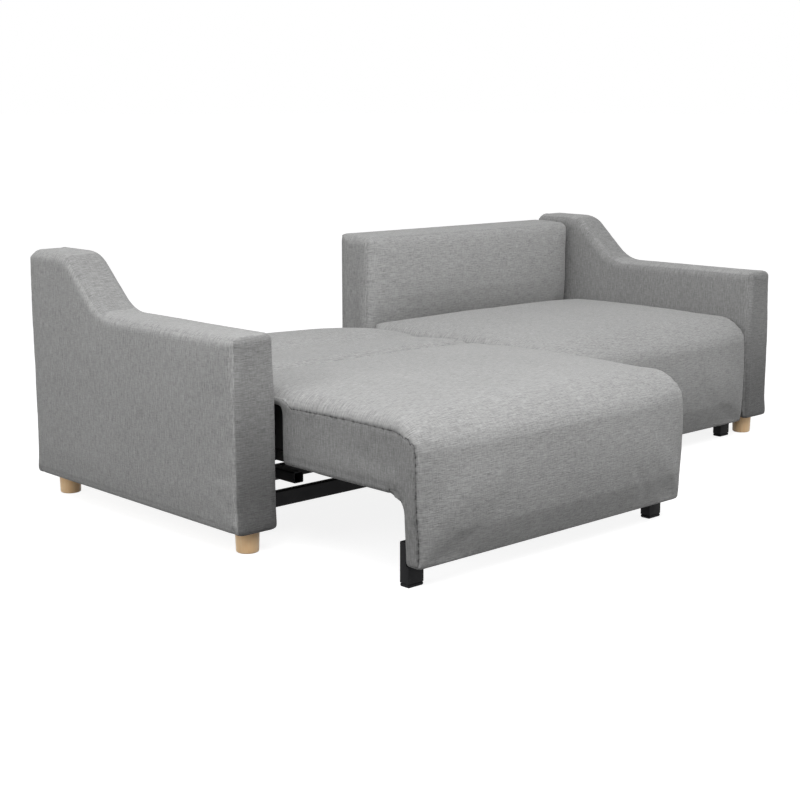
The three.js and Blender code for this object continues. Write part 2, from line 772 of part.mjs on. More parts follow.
// A back: a long upholstered block that turns on pins near its toe, with a pocket for its frame
function backCushion(side) {
  const corners = [
    [backFrontY, backToeZ, backToeRadius, frontArcSteps],
    [backRearY, backToeZ, softCornerRadius, 1],
    [backRearY, backTopZ, softCornerRadius, 1],
    [backFrontY, backTopZ, backTopRadius, arcSteps, crownSteps],
  ];
  const crowned = (point, share) => {
    const across = swell((share + 1) / 2, 4);
    const height = between(point.z, backCrownStart - pivotInset, backTopZ);
    const belly = backCrown * across * Math.sin(Math.PI * height ** 0.8);
    point.y -= belly * between(point.y, backRearY, backFrontY);
    return point;
  };
  const body = toSolid(upholstered(corners, halfWidth / 2, backRimRadius, backSeamDepth,
    crownSteps, crowned));
  const notches = [-1, 1].flatMap((end) => [
    block(
      [Math.min(end * backInsetHalf, end * halfWidth), backFrontY - overrun, backToeZ - overrun],
      [Math.max(end * backInsetHalf, end * halfWidth), backRearY, backToeZ + backInsetLength]),
    block(
      [Math.min(end * backInsetHalf, end * halfWidth), backRearY - backPlateDepth, backToeZ],
      [Math.max(end * backInsetHalf, end * halfWidth), backRearY, backToeZ + backPlateLength]),
  ]);
  const pocketHalf = halfWidth / 2 - backFrameInset + seatedGap;
  const pocket = block(
    [-pocketHalf, backRearY - backFrameThickness - seatedGap, backToeZ - overrun],
    [pocketHalf, backRearY + overrun, backTopZ - backFrameInset + seatedGap]);
  const cut = [...notches, pocket].reduce((solid, gap) => solid.subtract(toSolid(gap)), body);
  return mesh(`${side.name}_back_cushion`, toGeometry(cut), fabric);
}

// The timber frame on the back's rear face, with rounded edges
function backFrame(side) {
  const top = backTopZ - backFrameInset;
  const toe = backToeZ + backFrameInset;
  const step = backToeZ + backPlateLength;
  const wide = halfWidth / 2 - backFrameInset;
  const corners = [
    [-backInsetHalf, toe], [backInsetHalf, toe], [backInsetHalf, step], [wide, step], [wide, top],
    [-wide, top], [-wide, step], [-backInsetHalf, step],
  ];
  const shape = new THREE.Shape(corners.map(([across, up]) => new THREE.Vector2(across, up)));
  shape.holes.push(...frameWindows(-backInsetHalf, backInsetHalf, toe, top, backRailWidth, backFrameBays));
  const geometry = new THREE.ExtrudeGeometry(shape, {
    depth: backFrameThickness - 2 * backFrameBevel,
    bevelThickness: backFrameBevel, bevelSize: backFrameBevel, bevelOffset: -backFrameBevel, bevelSegments: 1,
  }).applyMatrix4(runAlongY).translate(0, backRearY - backFrameBevel, 0);
  return mesh(`${side.name}_back_frame`, geometry, timber);
}

// The steel plate on a back's side that holds the pivot pin and the guide pin
function sidePlate(side, end) {
  const pinY = guidePinOffset * Math.cos(guidePinStartAngle);
  const pinZ = guidePinOffset * Math.sin(guidePinStartAngle);
  const front = backRearY - backPlateDepth + sidePlateRadius;
  const top = backToeZ + backPlateLength - sidePlateRadius / 2;
  const corners = [
    [front, -pivotEyeRadius, sidePlateRadius], [pinY - sidePlateRadius, -pivotEyeRadius, sidePlateRadius],
    [backRearY - seatedGap, pinZ - sidePlateRadius, sidePlateRadius],
    [backRearY - seatedGap, pinZ + sidePlateRadius, sidePlateRadius],
    [pivotEyeRadius, top, sidePlateRadius], [front, top, sidePlateRadius],
  ];
  const shape = shapeOf(corners, [
    circle(0, 0, pivotPinDiameter / 2 + seatedGap),
    circle(pinY, pinZ, guideStudDiameter / 2 + seatedGap),
  ]);
  const plate = toSolid(plateAlongX(shape, backInsetHalf + seatedGap, halfWidth / 2 - sidePlateOutset));
  return mesh(`${side.name}_${end.name}_side_plate`, forEnd(plate, end), zincSteel);
}

function pivotPin(side, end) {
  const head = halfWidth / 2 - armPlateOutset + seatedGap;
  const inner = backInsetHalf + 2 * seatedGap;
  const pin = toSolid(turnedAboutX([
    [inner, 0], [inner, pivotPinDiameter / 2], [head, pivotPinDiameter / 2],
    [head, pinHeadDiameter / 2], [head + pinHeadThickness, pinHeadDiameter / 2], [head + pinHeadThickness, 0],
  ]));
  return mesh(`${side.name}_${end.name}_pivot_pin`, forEnd(pin, end), zincSteel);
}

// The stud and its nylon roller that run down the guide
function guidePin(side, end) {
  const inner = backInsetHalf + 2 * seatedGap;
  const shoulder = halfWidth / 2 - sidePlateOutset + seatedGap;
  const tip = halfWidth / 2 + guideClearance + guidePinEngagement;
  const pin = toSolid(turnedAboutX([
    [inner, 0], [inner, guideStudDiameter / 2], [shoulder, guideStudDiameter / 2],
    [shoulder, guideRollerDiameter / 2], [tip, guideRollerDiameter / 2], [tip, 0],
  ]));
  const placed = mesh(`${side.name}_${end.name}_guide_pin`, forEnd(pin, end), blackNylon);
  placed.position.y = guidePinOffset * Math.cos(guidePinStartAngle);
  placed.position.z = guidePinOffset * Math.sin(guidePinStartAngle);
  return placed;
}

// One half of the sofa, with its seat drawn out and its back down where opened is true
function makeHalf(side, opened) {
  const ends = [
    { name: "outer", sign: side.sign, seatInset: seatOuterInset, legInset: legOuterInset },
    { name: "inner", sign: -side.sign, seatInset: seatInnerInset, legInset: legInnerInset },
  ];
  const carriage = new THREE.Group();
  carriage.position.set(side.sign * halfCentre, opened ? -seatTravel : 0, 0);
  carriage.add(seatCushion(side), seatFrame(side));
  for (const end of ends) {
    carriage.add(seatLeg(side, end), legGlide(side, end), pivotArm(side, end));
    carriage.add(rollerBracket(side, end), roller(side, end));
  }
  const back = new THREE.Group();
  back.position.set(0, pivotY, pivotZ);
  back.rotation.x = opened ? -Math.PI / 2 : 0;
  back.add(backCushion(side), backFrame(side));
  for (const end of ends) {
    back.add(sidePlate(side, end), pivotPin(side, end), guidePin(side, end));
  }
  carriage.add(back);
  return carriage;
}

const left = { name: "left", sign: -1 };
const right = { name: "right", sign: 1 };
const sofa = new THREE.Group();

for (const side of [left, right]) {
  sofa.add(armCover(side), armBoard(side), armGuide(side));
  sofa.add(woodenFoot(`${side.name}_front_foot`, side, armFront + footFrontInset));
  sofa.add(woodenFoot(`${side.name}_rear_foot`, side, armRear - footRearInset));
  sofa.add(slideRail(`${side.name}_outer_slide_rail`, side, side.sign));
  sofa.add(slideRail(`${side.name}_inner_slide_rail`, side, -side.sign));
}
sofa.add(crossRail("front_cross_rail", armFront + frontRailInset, frontRailBottom));
sofa.add(crossRail("middle_cross_rail", armFront + middleRailInset, crossRailBottom));
sofa.add(crossRail("rear_cross_rail", rearRailRear - crossRailDepth, crossRailBottom));
sofa.add(centreBeam(), centreFoot(), centreGuide());
sofa.add(makeHalf(left, true), makeHalf(right, false));

// The origin is on the floor, in the middle of the sofa as it stands
sofa.position.y = (seatOverhang + seatFrontCrown + seatTravel) / 2;

export default sofa;
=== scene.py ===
import json
import math

import bmesh
import bpy
import numpy as np
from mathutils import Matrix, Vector, kdtree, noise


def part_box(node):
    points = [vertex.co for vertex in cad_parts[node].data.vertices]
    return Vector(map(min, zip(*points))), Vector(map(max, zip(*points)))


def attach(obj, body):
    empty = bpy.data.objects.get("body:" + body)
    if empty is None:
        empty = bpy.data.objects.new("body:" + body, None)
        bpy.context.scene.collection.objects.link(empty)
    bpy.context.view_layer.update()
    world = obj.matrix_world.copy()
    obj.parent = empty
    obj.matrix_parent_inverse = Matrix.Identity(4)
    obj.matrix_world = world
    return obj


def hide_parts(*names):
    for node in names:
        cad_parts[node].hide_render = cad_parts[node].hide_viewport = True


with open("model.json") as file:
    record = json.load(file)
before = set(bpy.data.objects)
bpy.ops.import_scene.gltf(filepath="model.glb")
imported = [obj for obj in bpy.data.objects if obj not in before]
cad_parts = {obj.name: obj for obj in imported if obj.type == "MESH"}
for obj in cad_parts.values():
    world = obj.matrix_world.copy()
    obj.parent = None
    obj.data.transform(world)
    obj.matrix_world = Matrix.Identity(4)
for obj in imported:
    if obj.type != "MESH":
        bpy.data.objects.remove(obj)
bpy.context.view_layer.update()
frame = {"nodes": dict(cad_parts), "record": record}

# The camera stands in front of the left arm, a little over a metre up, with a short
# telephoto lens, and looks down at the drawn-out bed.
camera_lens = 69.0
camera_place = Vector((-3.2476, -3.0697, 1.0698))
camera_yaw = 0.7522
camera_pitch = 0.1885
looking = Vector((math.sin(camera_yaw) * math.cos(camera_pitch),
                  math.cos(camera_yaw) * math.cos(camera_pitch),
                  -math.sin(camera_pitch)))
camera_data = bpy.data.cameras.new("camera")
camera_data.sensor_width = 36.0
camera_data.lens = camera_lens
camera = bpy.data.objects.new("camera", camera_data)
camera.location = camera_place
camera.rotation_mode = "QUATERNION"
camera.rotation_quaternion = looking.to_track_quat("-Z", "Y")
bpy.context.scene.collection.objects.link(camera)
bpy.context.scene.camera = camera
bpy.context.scene.view_settings.view_transform = "Standard"

# The studio is a pale floor without an edge under one broad lamp overhead and two
# weaker ones at the left and in front. The camera sees floor and surroundings as white.
floor_size = 400.0
floor_grey = 0.16
floor_pale = 0.92
floor_white_share = 0.60
floor_glow = 1.45
sky_strength = 0.40
key_place = Vector((-1.3, -1.7, 3.3))
key_power = 130.0
key_width = 3.2
side_place = Vector((-4.6, 0.4, 2.0))
side_power = 50.0
side_width = 2.4
front_place = Vector((1.6, -4.8, 1.1))
front_power = 20.0
front_width = 2.2
lamp_target = Vector((-0.1, 0.0, 0.35))


def shader_node(tree, kind, settings=None, **inputs):
    made = tree.nodes.new("ShaderNode" + kind)
    for name, value in (settings or {}).items():
        setattr(made, name, value)
    for name, value in inputs.items():
        socket = made.inputs[int(name[1:])] if name[1:].isdigit() else made.inputs[name.replace("_", " ")]
        if isinstance(value, bpy.types.NodeSocket):
            tree.links.new(value, socket)
        else:
            socket.default_value = value
    return made


def maths(tree, operation, first, second=0.0, third=0.0):
    return shader_node(tree, "Math", {"operation": operation}, i0=first, i1=second, i2=third).outputs[0]


def seen_directly(tree):
    rays = shader_node(tree, "LightPath").outputs
    seen = maths(tree, "MAXIMUM", rays["Is Camera Ray"], rays["Is Glossy Ray"])
    return maths(tree, "MAXIMUM", seen, rays["Is Transmission Ray"])


def new_material(name):
    material = bpy.data.materials.new(name)
    material.use_nodes = True
    material.node_tree.nodes.clear()
    return material, material.node_tree


studio_white, tree = new_material("studio_white")
unseen_floor = shader_node(tree, "BsdfDiffuse", Color=(floor_grey, floor_grey, floor_grey, 1))
pale_floor = shader_node(tree, "BsdfDiffuse", Color=(floor_pale, floor_pale, floor_pale, 1))
glow = shader_node(tree, "Emission", Color=(1, 1, 1, 1), Strength=floor_glow)
seen_floor = shader_node(tree, "MixShader", i0=floor_white_share, i1=pale_floor.outputs[0],
                         i2=glow.outputs[0])
floor_mix = shader_node(tree, "MixShader", i0=seen_directly(tree), i1=unseen_floor.outputs[0],
                        i2=seen_floor.outputs[0])
shader_node(tree, "OutputMaterial", Surface=floor_mix.outputs[0])

shape = bmesh.new()
bmesh.ops.create_grid(shape, x_segments=1, y_segments=1, size=floor_size / 2)
floor_mesh = bpy.data.meshes.new("studio_floor")
shape.to_mesh(floor_mesh)
shape.free()
floor = bpy.data.objects.new("studio_floor", floor_mesh)
floor.data.materials.append(studio_white)
bpy.context.scene.collection.objects.link(floor)

world = bpy.data.worlds.new("studio")
world.use_nodes = True
tree = world.node_tree
tree.nodes.clear()
strength = maths(tree, "MULTIPLY_ADD", seen_directly(tree), 1.0 - sky_strength, sky_strength)
sky = shader_node(tree, "Background", Color=(1, 1, 1, 1), Strength=strength)
shader_node(tree, "OutputWorld", Surface=sky.outputs[0])
bpy.context.scene.world = world


def add_lamp(name, place, power, width):
    lamp_data = bpy.data.lights.new(name, "AREA")
    lamp_data.energy = power
    lamp_data.size = width
    lamp = bpy.data.objects.new(name, lamp_data)
    lamp.location = place
    lamp.rotation_mode = "QUATERNION"
    lamp.rotation_quaternion = (lamp_target - place).to_track_quat("-Z", "Y")
    bpy.context.scene.collection.objects.link(lamp)


add_lamp("key_lamp", key_place, key_power, key_width)
add_lamp("side_lamp", side_place, side_power, side_width)
add_lamp("front_lamp", front_place, front_power, front_width)

# Each arm is a slim padded panel over a timber frame, in a heathered grey cloth with
# slubs in its weft. One strip of cloth runs up its front, along its top with the ramp
# and down its rear, sewn to the two side panels, and gathers at the top front corner.
arm_swell = 0.005
arm_round = 0.030
arm_edge_round = 0.018
arm_hem_round = 0.005
arm_outer_growth = 0.011
arm_inner_growth = 0.001
arm_front_growth = 0.012
arm_rear_growth = 0.009
arm_top_growth = 0.006
arm_seam_inset = 0.0045
arm_seam_depth = 0.12
arm_outline_inset = 0.016
arm_top_facing = (0.1, 0.9)
arm_front_round_band = (0.36, 0.52)
arm_top_growth_band = (0.15, 0.50)
arm_hem_held = 0.02
arm_hem_stiff = 0.09
arm_inner_share = 0.5
arm_inner_stiffness = 0.5
arm_lining_height = 0.03
arm_gain = np.array([1.0, 0.8, 0.6])
arm_pucker = 0.0006
# Painted shade: arm_low_shade darkens the arm's cloth colour towards the floor, over the height band
# arm_shade_band.
arm_shade_band = (0.08, 0.46)
arm_low_shade = 0.07
# Painted shade: the cloth strip up the arm's front is darkened, and more so towards the floor.
arm_strip_shade = 0.18
arm_strip_low_shade = 0.34
# Painted shade: the strip is darkened round its top front corner, where the cloth gathers.
arm_corner_height = 0.535
arm_corner_reach = 0.055
arm_corner_shade = 0.08
# Painted shade: the inner side panel, which faces the seat, is darkened.
arm_inner_shade = 0.24
cloth_dark = (0.205, 0.205, 0.203, 1)
cloth_light = (0.465, 0.465, 0.462, 1)
slub_pitch = 0.0028
slub_length = 0.036
fine_pitch = 0.0016
fine_length = 0.012
yarn_pitch = 0.0018
fine_share = 0.55
cross_share = 0.20
cloud_scale = 6.0
cloud_share = 0.04
yarn_contrast = 0.05
seam_line_width = 0.0016
seam_valley_width = 0.008
# Painted shade in the seams: a thin dark line, a wider darkened valley and darker gathers in it, where shade
# falls in the seam's groove.
seam_shadow_colour = (0.03, 0.03, 0.03, 1)
gather_scale = 110.0
seam_line_shade = 0.75
seam_valley_shade = 0.18
seam_gather_shade = 0.5
most_seam_shade = 0.9
yarn_height = 0.16
slub_height = 0.8
valley_sink = -2.2
fine_voxel = 0.0055
net_smoothing = 4
net_smooth_share = 0.5
coarse_voxel = 0.013
filling_quality = 5
filling_mass = 0.3
filling_pressure = 4.0
settle_frames = 20
near_points = 6
near_outline = 0.0005
pucker_reach = 0.014
ridge_scale = 52.0
ridge_along_seam = 0.3
ridge_along_width = 0.2
ripple_height = 0.0012
ripple_scale = 5.0
fine_ripple_height = 0.0005
fine_ripple_scale = 14.0
seam_sink_share = 0.7
seam_sink_width = 0.005
facing_partly = 0.3
facing_mostly = 0.5
facing_nearly = 0.8


def colour_mix(tree, factor, first, second, blend="MIX"):
    settings = {"data_type": "RGBA", "blend_type": blend}
    return shader_node(tree, "Mix", settings, i0=factor, i6=first, i7=second).outputs[2]


def value_mix(tree, factor, first, second):
    return shader_node(tree, "Mix", {"data_type": "FLOAT"}, i0=factor, i2=first, i3=second).outputs[0]


def spread(tree, value, low, high, to_low=0.0, to_high=1.0):
    made = shader_node(tree, "MapRange", {"clamp": True}, Value=value, From_Min=low, From_Max=high,
                       To_Min=to_low, To_Max=to_high)
    return made.outputs[0]


def noise_of(tree, vector, scale=1.0, detail=2.0, roughness=0.5):
    made = shader_node(tree, "TexNoise", Vector=vector, Scale=scale, Detail=detail, Roughness=roughness)
    return made.outputs[0]


def new_group(name, inputs, outputs):
    group = bpy.data.node_groups.new(name, "ShaderNodeTree")
    for label, kind in inputs:
        group.interface.new_socket(name=label, in_out="INPUT", socket_type="NodeSocket" + kind)
    for label, kind in outputs:
        group.interface.new_socket(name=label, in_out="OUTPUT", socket_type="NodeSocket" + kind)
    return group, group.nodes.new("NodeGroupInput").outputs, group.nodes.new("NodeGroupOutput").inputs


slub_cloth, given, wanted = new_group(
    "slub_cloth",
    [("Place", "Vector"), ("Around", "Float"), ("End panel", "Float"), ("Seam", "Float"),
     ("Seam depth", "Float"), ("Shade", "Float"), ("Dark", "Color"), ("Light", "Color")],
    [("Color", "Color"), ("Roughness", "Float"), ("Height", "Float")])
axes = shader_node(slub_cloth, "SeparateXYZ", Vector=given["Place"]).outputs
along = value_mix(slub_cloth, given["End panel"], axes["X"], axes["Z"])
across = value_mix(slub_cloth, given["End panel"], given["Around"], axes["Y"])


def streaks(tree, length, pitch, detail):
    scaled_along = maths(tree, "DIVIDE", along, length)
    scaled_across = maths(tree, "DIVIDE", across, pitch)
    vector = shader_node(tree, "CombineXYZ", X=scaled_along, Y=scaled_across, Z=given["End panel"]).outputs[0]
    return noise_of(tree, vector, 1.0, detail)


slubs = spread(slub_cloth, streaks(slub_cloth, slub_length, slub_pitch, 1.0), 0.32, 0.68)
fine = spread(slub_cloth, streaks(slub_cloth, fine_length, fine_pitch, 1.0), 0.30, 0.70)
cross = spread(slub_cloth, streaks(slub_cloth, slub_pitch, slub_length / 2, 1.0), 0.35, 0.65)
cloudy = spread(slub_cloth, noise_of(slub_cloth, given["Place"], cloud_scale, 3.0), 0.3, 0.7, -cloud_share,
                cloud_share)
mixed = value_mix(slub_cloth, fine_share, slubs, fine)
mixed = value_mix(slub_cloth, cross_share, mixed, cross)
mixed = maths(slub_cloth, "ADD", mixed, cloudy)
yarn_along = maths(slub_cloth, "SINE", maths(slub_cloth, "MULTIPLY", along, 2 * math.pi / yarn_pitch))
yarn_across = maths(slub_cloth, "SINE", maths(slub_cloth, "MULTIPLY", across, 2 * math.pi / yarn_pitch))
yarn = maths(slub_cloth, "MULTIPLY", yarn_along, yarn_across)
mixed = maths(slub_cloth, "MULTIPLY_ADD", yarn, yarn_contrast, mixed)
cloth_colour = colour_mix(slub_cloth, mixed, given["Dark"], given["Light"])
# Painted shade in the seams: a thin dark line, a wider darkened valley and darker gathers in it, scaled by
# the seam's depth.
off_seam = maths(slub_cloth, "ABSOLUTE", given["Seam"])
gather = noise_of(slub_cloth, given["Place"], gather_scale, 1.0)
line = spread(slub_cloth, off_seam, 0.0, seam_line_width, 1.0, 0.0)
line = maths(slub_cloth, "MULTIPLY", line, spread(slub_cloth, gather, 0.35, 0.6, 0.45, 0.95))
valley = spread(slub_cloth, off_seam, 0.0, seam_valley_width, 1.0, 0.0)
gathers = spread(slub_cloth, gather, 0.5, 0.66, 0.0, seam_gather_shade)
gathers = maths(slub_cloth, "MULTIPLY", valley, gathers)
painted_seam_shade = maths(slub_cloth, "ADD", maths(slub_cloth, "MULTIPLY", line, seam_line_shade), gathers)
painted_seam_shade = maths(slub_cloth, "ADD", painted_seam_shade, maths(slub_cloth, "MULTIPLY", valley, seam_valley_shade))
painted_seam_shade = maths(slub_cloth, "MULTIPLY", painted_seam_shade, given["Seam depth"])
painted_seam_shade = maths(slub_cloth, "MINIMUM", painted_seam_shade, most_seam_shade)
cloth_colour = colour_mix(slub_cloth, painted_seam_shade, cloth_colour, seam_shadow_colour)
# The Shade input multiplies the cloth colour by each piece's painted shade.
shade = shader_node(slub_cloth, "CombineXYZ", X=given["Shade"], Y=given["Shade"], Z=given["Shade"]).outputs[0]
cloth_colour = colour_mix(slub_cloth, 1.0, cloth_colour, shade, "MULTIPLY")
height = maths(slub_cloth, "MULTIPLY", mixed, slub_height)
height = maths(slub_cloth, "MULTIPLY_ADD", yarn, yarn_height, height)
valley_height = maths(slub_cloth, "MULTIPLY", maths(slub_cloth, "MULTIPLY", valley, valley), valley_sink)
valley_height = maths(slub_cloth, "MULTIPLY", valley_height, given["Seam depth"])
slub_cloth.links.new(cloth_colour, wanted["Color"])
slub_cloth.links.new(spread(slub_cloth, mixed, 0.0, 1.0, 0.96, 0.84), wanted["Roughness"])
slub_cloth.links.new(maths(slub_cloth, "ADD", height, valley_height), wanted["Height"])


def cloth_material(name, seam_depth, turn=0.0):
    material, tree = new_material(name)
    place = shader_node(tree, "TexCoord").outputs["Object"]
    if turn:
        place = shader_node(tree, "Mapping", Vector=place, Rotation=(turn, 0, 0)).outputs[0]
    seam, shade, around, panel = (
        shader_node(tree, "Attribute", {"attribute_name": label}).outputs["Fac"]
        for label in ("seam", "shade", "around", "panel"))
    on_end_panel = maths(tree, "GREATER_THAN", panel, 0.5)
    weave = shader_node(tree, "Group", {"node_tree": slub_cloth}, Place=place, Around=around,
                        End_panel=on_end_panel, Seam=seam, Seam_depth=seam_depth, Shade=shade,
                        Dark=cloth_dark, Light=cloth_light)
    bump = shader_node(tree, "Bump", Height=weave.outputs["Height"], Strength=0.7, Distance=0.0009)
    shader = shader_node(tree, "BsdfPrincipled", Base_Color=weave.outputs["Color"],
                         Roughness=weave.outputs["Roughness"], Normal=bump.outputs[0],
                         Sheen_Weight=0.22, Sheen_Roughness=0.45, Specular_IOR_Level=0.25)
    shader_node(tree, "OutputMaterial", Surface=shader.outputs[0])
    return material


# The lining under the seats and behind their side panels is thin black felt, stapled
# to the frames.
felt_grey = 0.016
felt_pitch = 0.004
felt_lining, tree = new_material("felt_lining")
place = shader_node(tree, "TexCoord").outputs["Object"]
dimples = shader_node(tree, "TexVoronoi", Vector=place, Scale=1.0 / felt_pitch).outputs["Distance"]
fuzz = noise_of(tree, place, 900.0, 3.0)
lining_colour = colour_mix(tree, fuzz, (felt_grey * 0.6,) * 3 + (1,), (felt_grey * 1.6,) * 3 + (1,))
bump = shader_node(tree, "Bump", Height=dimples, Strength=0.4, Distance=0.0004)
shader = shader_node(tree, "BsdfPrincipled", Base_Color=lining_colour, Roughness=0.92, Normal=bump.outputs[0])
shader_node(tree, "OutputMaterial", Surface=shader.outputs[0])


def merged_copy(node):
    copy = bmesh.new()
    copy.from_mesh(frame["nodes"][node].data)
    bmesh.ops.remove_doubles(copy, verts=copy.verts, dist=0.00001)
    return copy


def even_net(node, name, spacing):
    start = merged_copy(node)
    mesh = bpy.data.meshes.new(name)
    start.to_mesh(mesh)
    start.free()
    piece = bpy.data.objects.new(name, mesh)
    bpy.context.scene.collection.objects.link(piece)
    remesh = piece.modifiers.new("even_net", "REMESH")
    remesh.mode = "VOXEL"
    remesh.voxel_size = spacing
    smooth = piece.modifiers.new("smooth_net", "SMOOTH")
    smooth.factor = net_smooth_share
    smooth.iterations = net_smoothing
    made = bpy.data.meshes.new_from_object(piece.evaluated_get(bpy.context.evaluated_depsgraph_get()))
    piece.modifiers.clear()
    piece.data = made
    return piece


def side_outline(node, plane_x):
    """The runs, in Y and Z and in their order, that a cut across the piece at one X shows."""
    copy = merged_copy(node)
    geometry = list(copy.verts) + list(copy.edges) + list(copy.faces)
    cut = bmesh.ops.bisect_plane(copy, geom=geometry, plane_co=(plane_x, 0, 0), plane_no=(1, 0, 0))
    cut = cut["geom_cut"]
    waiting = [tuple(edge.verts) for edge in cut if isinstance(edge, bmesh.types.BMEdge)]
    corner = max((pair[0] for pair in waiting), key=lambda vert: vert.co.y - vert.co.z)
    runs = []
    while waiting:
        following = next((pair for pair in waiting if corner in pair), waiting[0])
        waiting.remove(following)
        start, end = following[::-1] if corner == following[1] else following
        runs.append(((start.co.y, start.co.z), (end.co.y, end.co.z)))
        corner = end
    copy.free()
    return np.array(runs)


def depth_inside(places, segments):
    """How far each place lies inside an outline, the way inward, and how far round it is."""
    depth = np.full(len(places), 1e9)
    inward = np.zeros((len(places), 2))
    inside = np.zeros(len(places), bool)
    around = np.zeros(len(places))
    travelled = 0.0
    for start, end in segments:
        run = end - start
        length = np.hypot(*run)
        if length < 1e-7:
            continue
        crosses = (start[1] > places[:, 1]) != (end[1] > places[:, 1])
        if crosses.any():
            meeting = start[0] + (places[:, 1] - start[1]) * run[0] / (run[1] if run[1] else 1e-9)
            inside ^= crosses & (places[:, 0] < meeting)
        share = np.clip(((places - start) @ run) / length ** 2, 0, 1)
        away = places - (start + share[:, None] * run)
        distance = np.hypot(away[:, 0], away[:, 1])
        nearer = distance < depth - 1e-7
        depth[nearer] = distance[nearer]
        level = np.array([-run[1], run[0]]) / length
        facing = np.where((away @ level)[:, None] < 0, -level, level)
        unit = np.where(distance[:, None] > near_outline, away / (distance[:, None] + 1e-12), facing)
        inward[nearer] = unit[nearer]
        around[nearer] = travelled + share[nearer] * length
        travelled += length
    inward[~inside] *= -1
    return np.where(inside, depth, 0.0), inward, around


def rounded_over(places, middle, half, outlines, radius_for):
    """Rounds a piece's long edges, and tells how deep each place lies and which way."""
    depth = np.zeros(len(places))
    inward = np.zeros((len(places), 2))
    outer = places[:, 0] > middle
    for chosen, segments in ((outer, outlines[1]), (~outer, outlines[0])):
        depth[chosen], inward[chosen] = depth_inside(places[chosen][:, 1:], segments)[:2]
    radius = radius_for(places, inward)
    aside = np.abs(places[:, 0] - middle)
    beyond = aside - (half - radius)
    short = radius - depth
    reach = np.hypot(beyond, short)
    moved = (beyond > 0) & (short > 0) & (reach > radius)
    keep = np.where(moved, radius / np.maximum(reach, 1e-9), 1.0)
    made = places.copy()
    new_aside = np.where(moved, half - radius + beyond * keep, aside)
    made[:, 0] = middle + np.sign(places[:, 0] - middle) * new_aside
    step = np.where(moved, short * (1 - keep), 0.0)
    made[:, 1:] += inward * step[:, None]
    return made, depth, inward, depth_inside(places[:, 1:], outlines[2])[2]


def places_of(mesh):
    places = np.empty(len(mesh.vertices) * 3, np.float32)
    mesh.vertices.foreach_get("co", places)
    return places.reshape(-1, 3).astype(float)


def normals_of(mesh):
    normals = np.empty(len(mesh.vertices) * 3, np.float32)
    mesh.vertex_normals.foreach_get("vector", normals)
    return normals.reshape(-1, 3).astype(float)


def set_places(mesh, places):
    mesh.vertices.foreach_set("co", places.astype(np.float32).ravel())
    mesh.update()


def swelling(net, held, cap, gain):
    """How the filling moves each point of a coarse net."""
    places = places_of(net.data)
    group = net.vertex_groups.new(name="held")
    group.add([int(i) for i in np.nonzero(held)[0]], 1.0, "REPLACE")
    filling = net.modifiers.new("filling", "CLOTH")
    filling.settings.quality = filling_quality
    filling.settings.mass = filling_mass
    filling.settings.vertex_group_mass = "held"
    filling.settings.use_pressure = True
    filling.settings.uniform_pressure_force = filling_pressure
    filling.settings.effector_weights.gravity = 0
    filling.point_cache.frame_start = 1
    filling.point_cache.frame_end = settle_frames
    for step in range(1, settle_frames + 1):
        bpy.context.scene.frame_set(step)
    settled = places_of(net.evaluated_get(bpy.context.evaluated_depsgraph_get()).data)
    bpy.context.scene.frame_set(1)
    moves = (settled - places) * gain
    length = np.linalg.norm(moves, axis=1, keepdims=True) + 1e-9
    return moves / length * cap * np.tanh(length / cap)


def carried(places, net_places, net_moves):
    tree = kdtree.KDTree(len(net_places))
    for index, place in enumerate(net_places):
        tree.insert(place, index)
    tree.balance()
    moves = np.zeros_like(places)
    for index, place in enumerate(places):
        near = tree.find_n(place, near_points)
        weights = np.array([math.exp(-(found[2] / coarse_voxel) ** 2) + 1e-6 for found in near])
        moves[index] = weights @ net_moves[[found[1] for found in near]] / weights.sum()
    return places + moves


def noise_at(places, scale, seed):
    shift = Vector((seed * 7.3, seed * 3.1, seed * 5.7))
    return np.array([noise.noise(Vector(p) * scale + shift) for p in places])


def mesh_values(items, label, width):
    values = np.empty(len(items) * width, np.float32)
    items.foreach_get(label, values)
    return values.reshape(-1, width).astype(float)


settled_swellings = {}


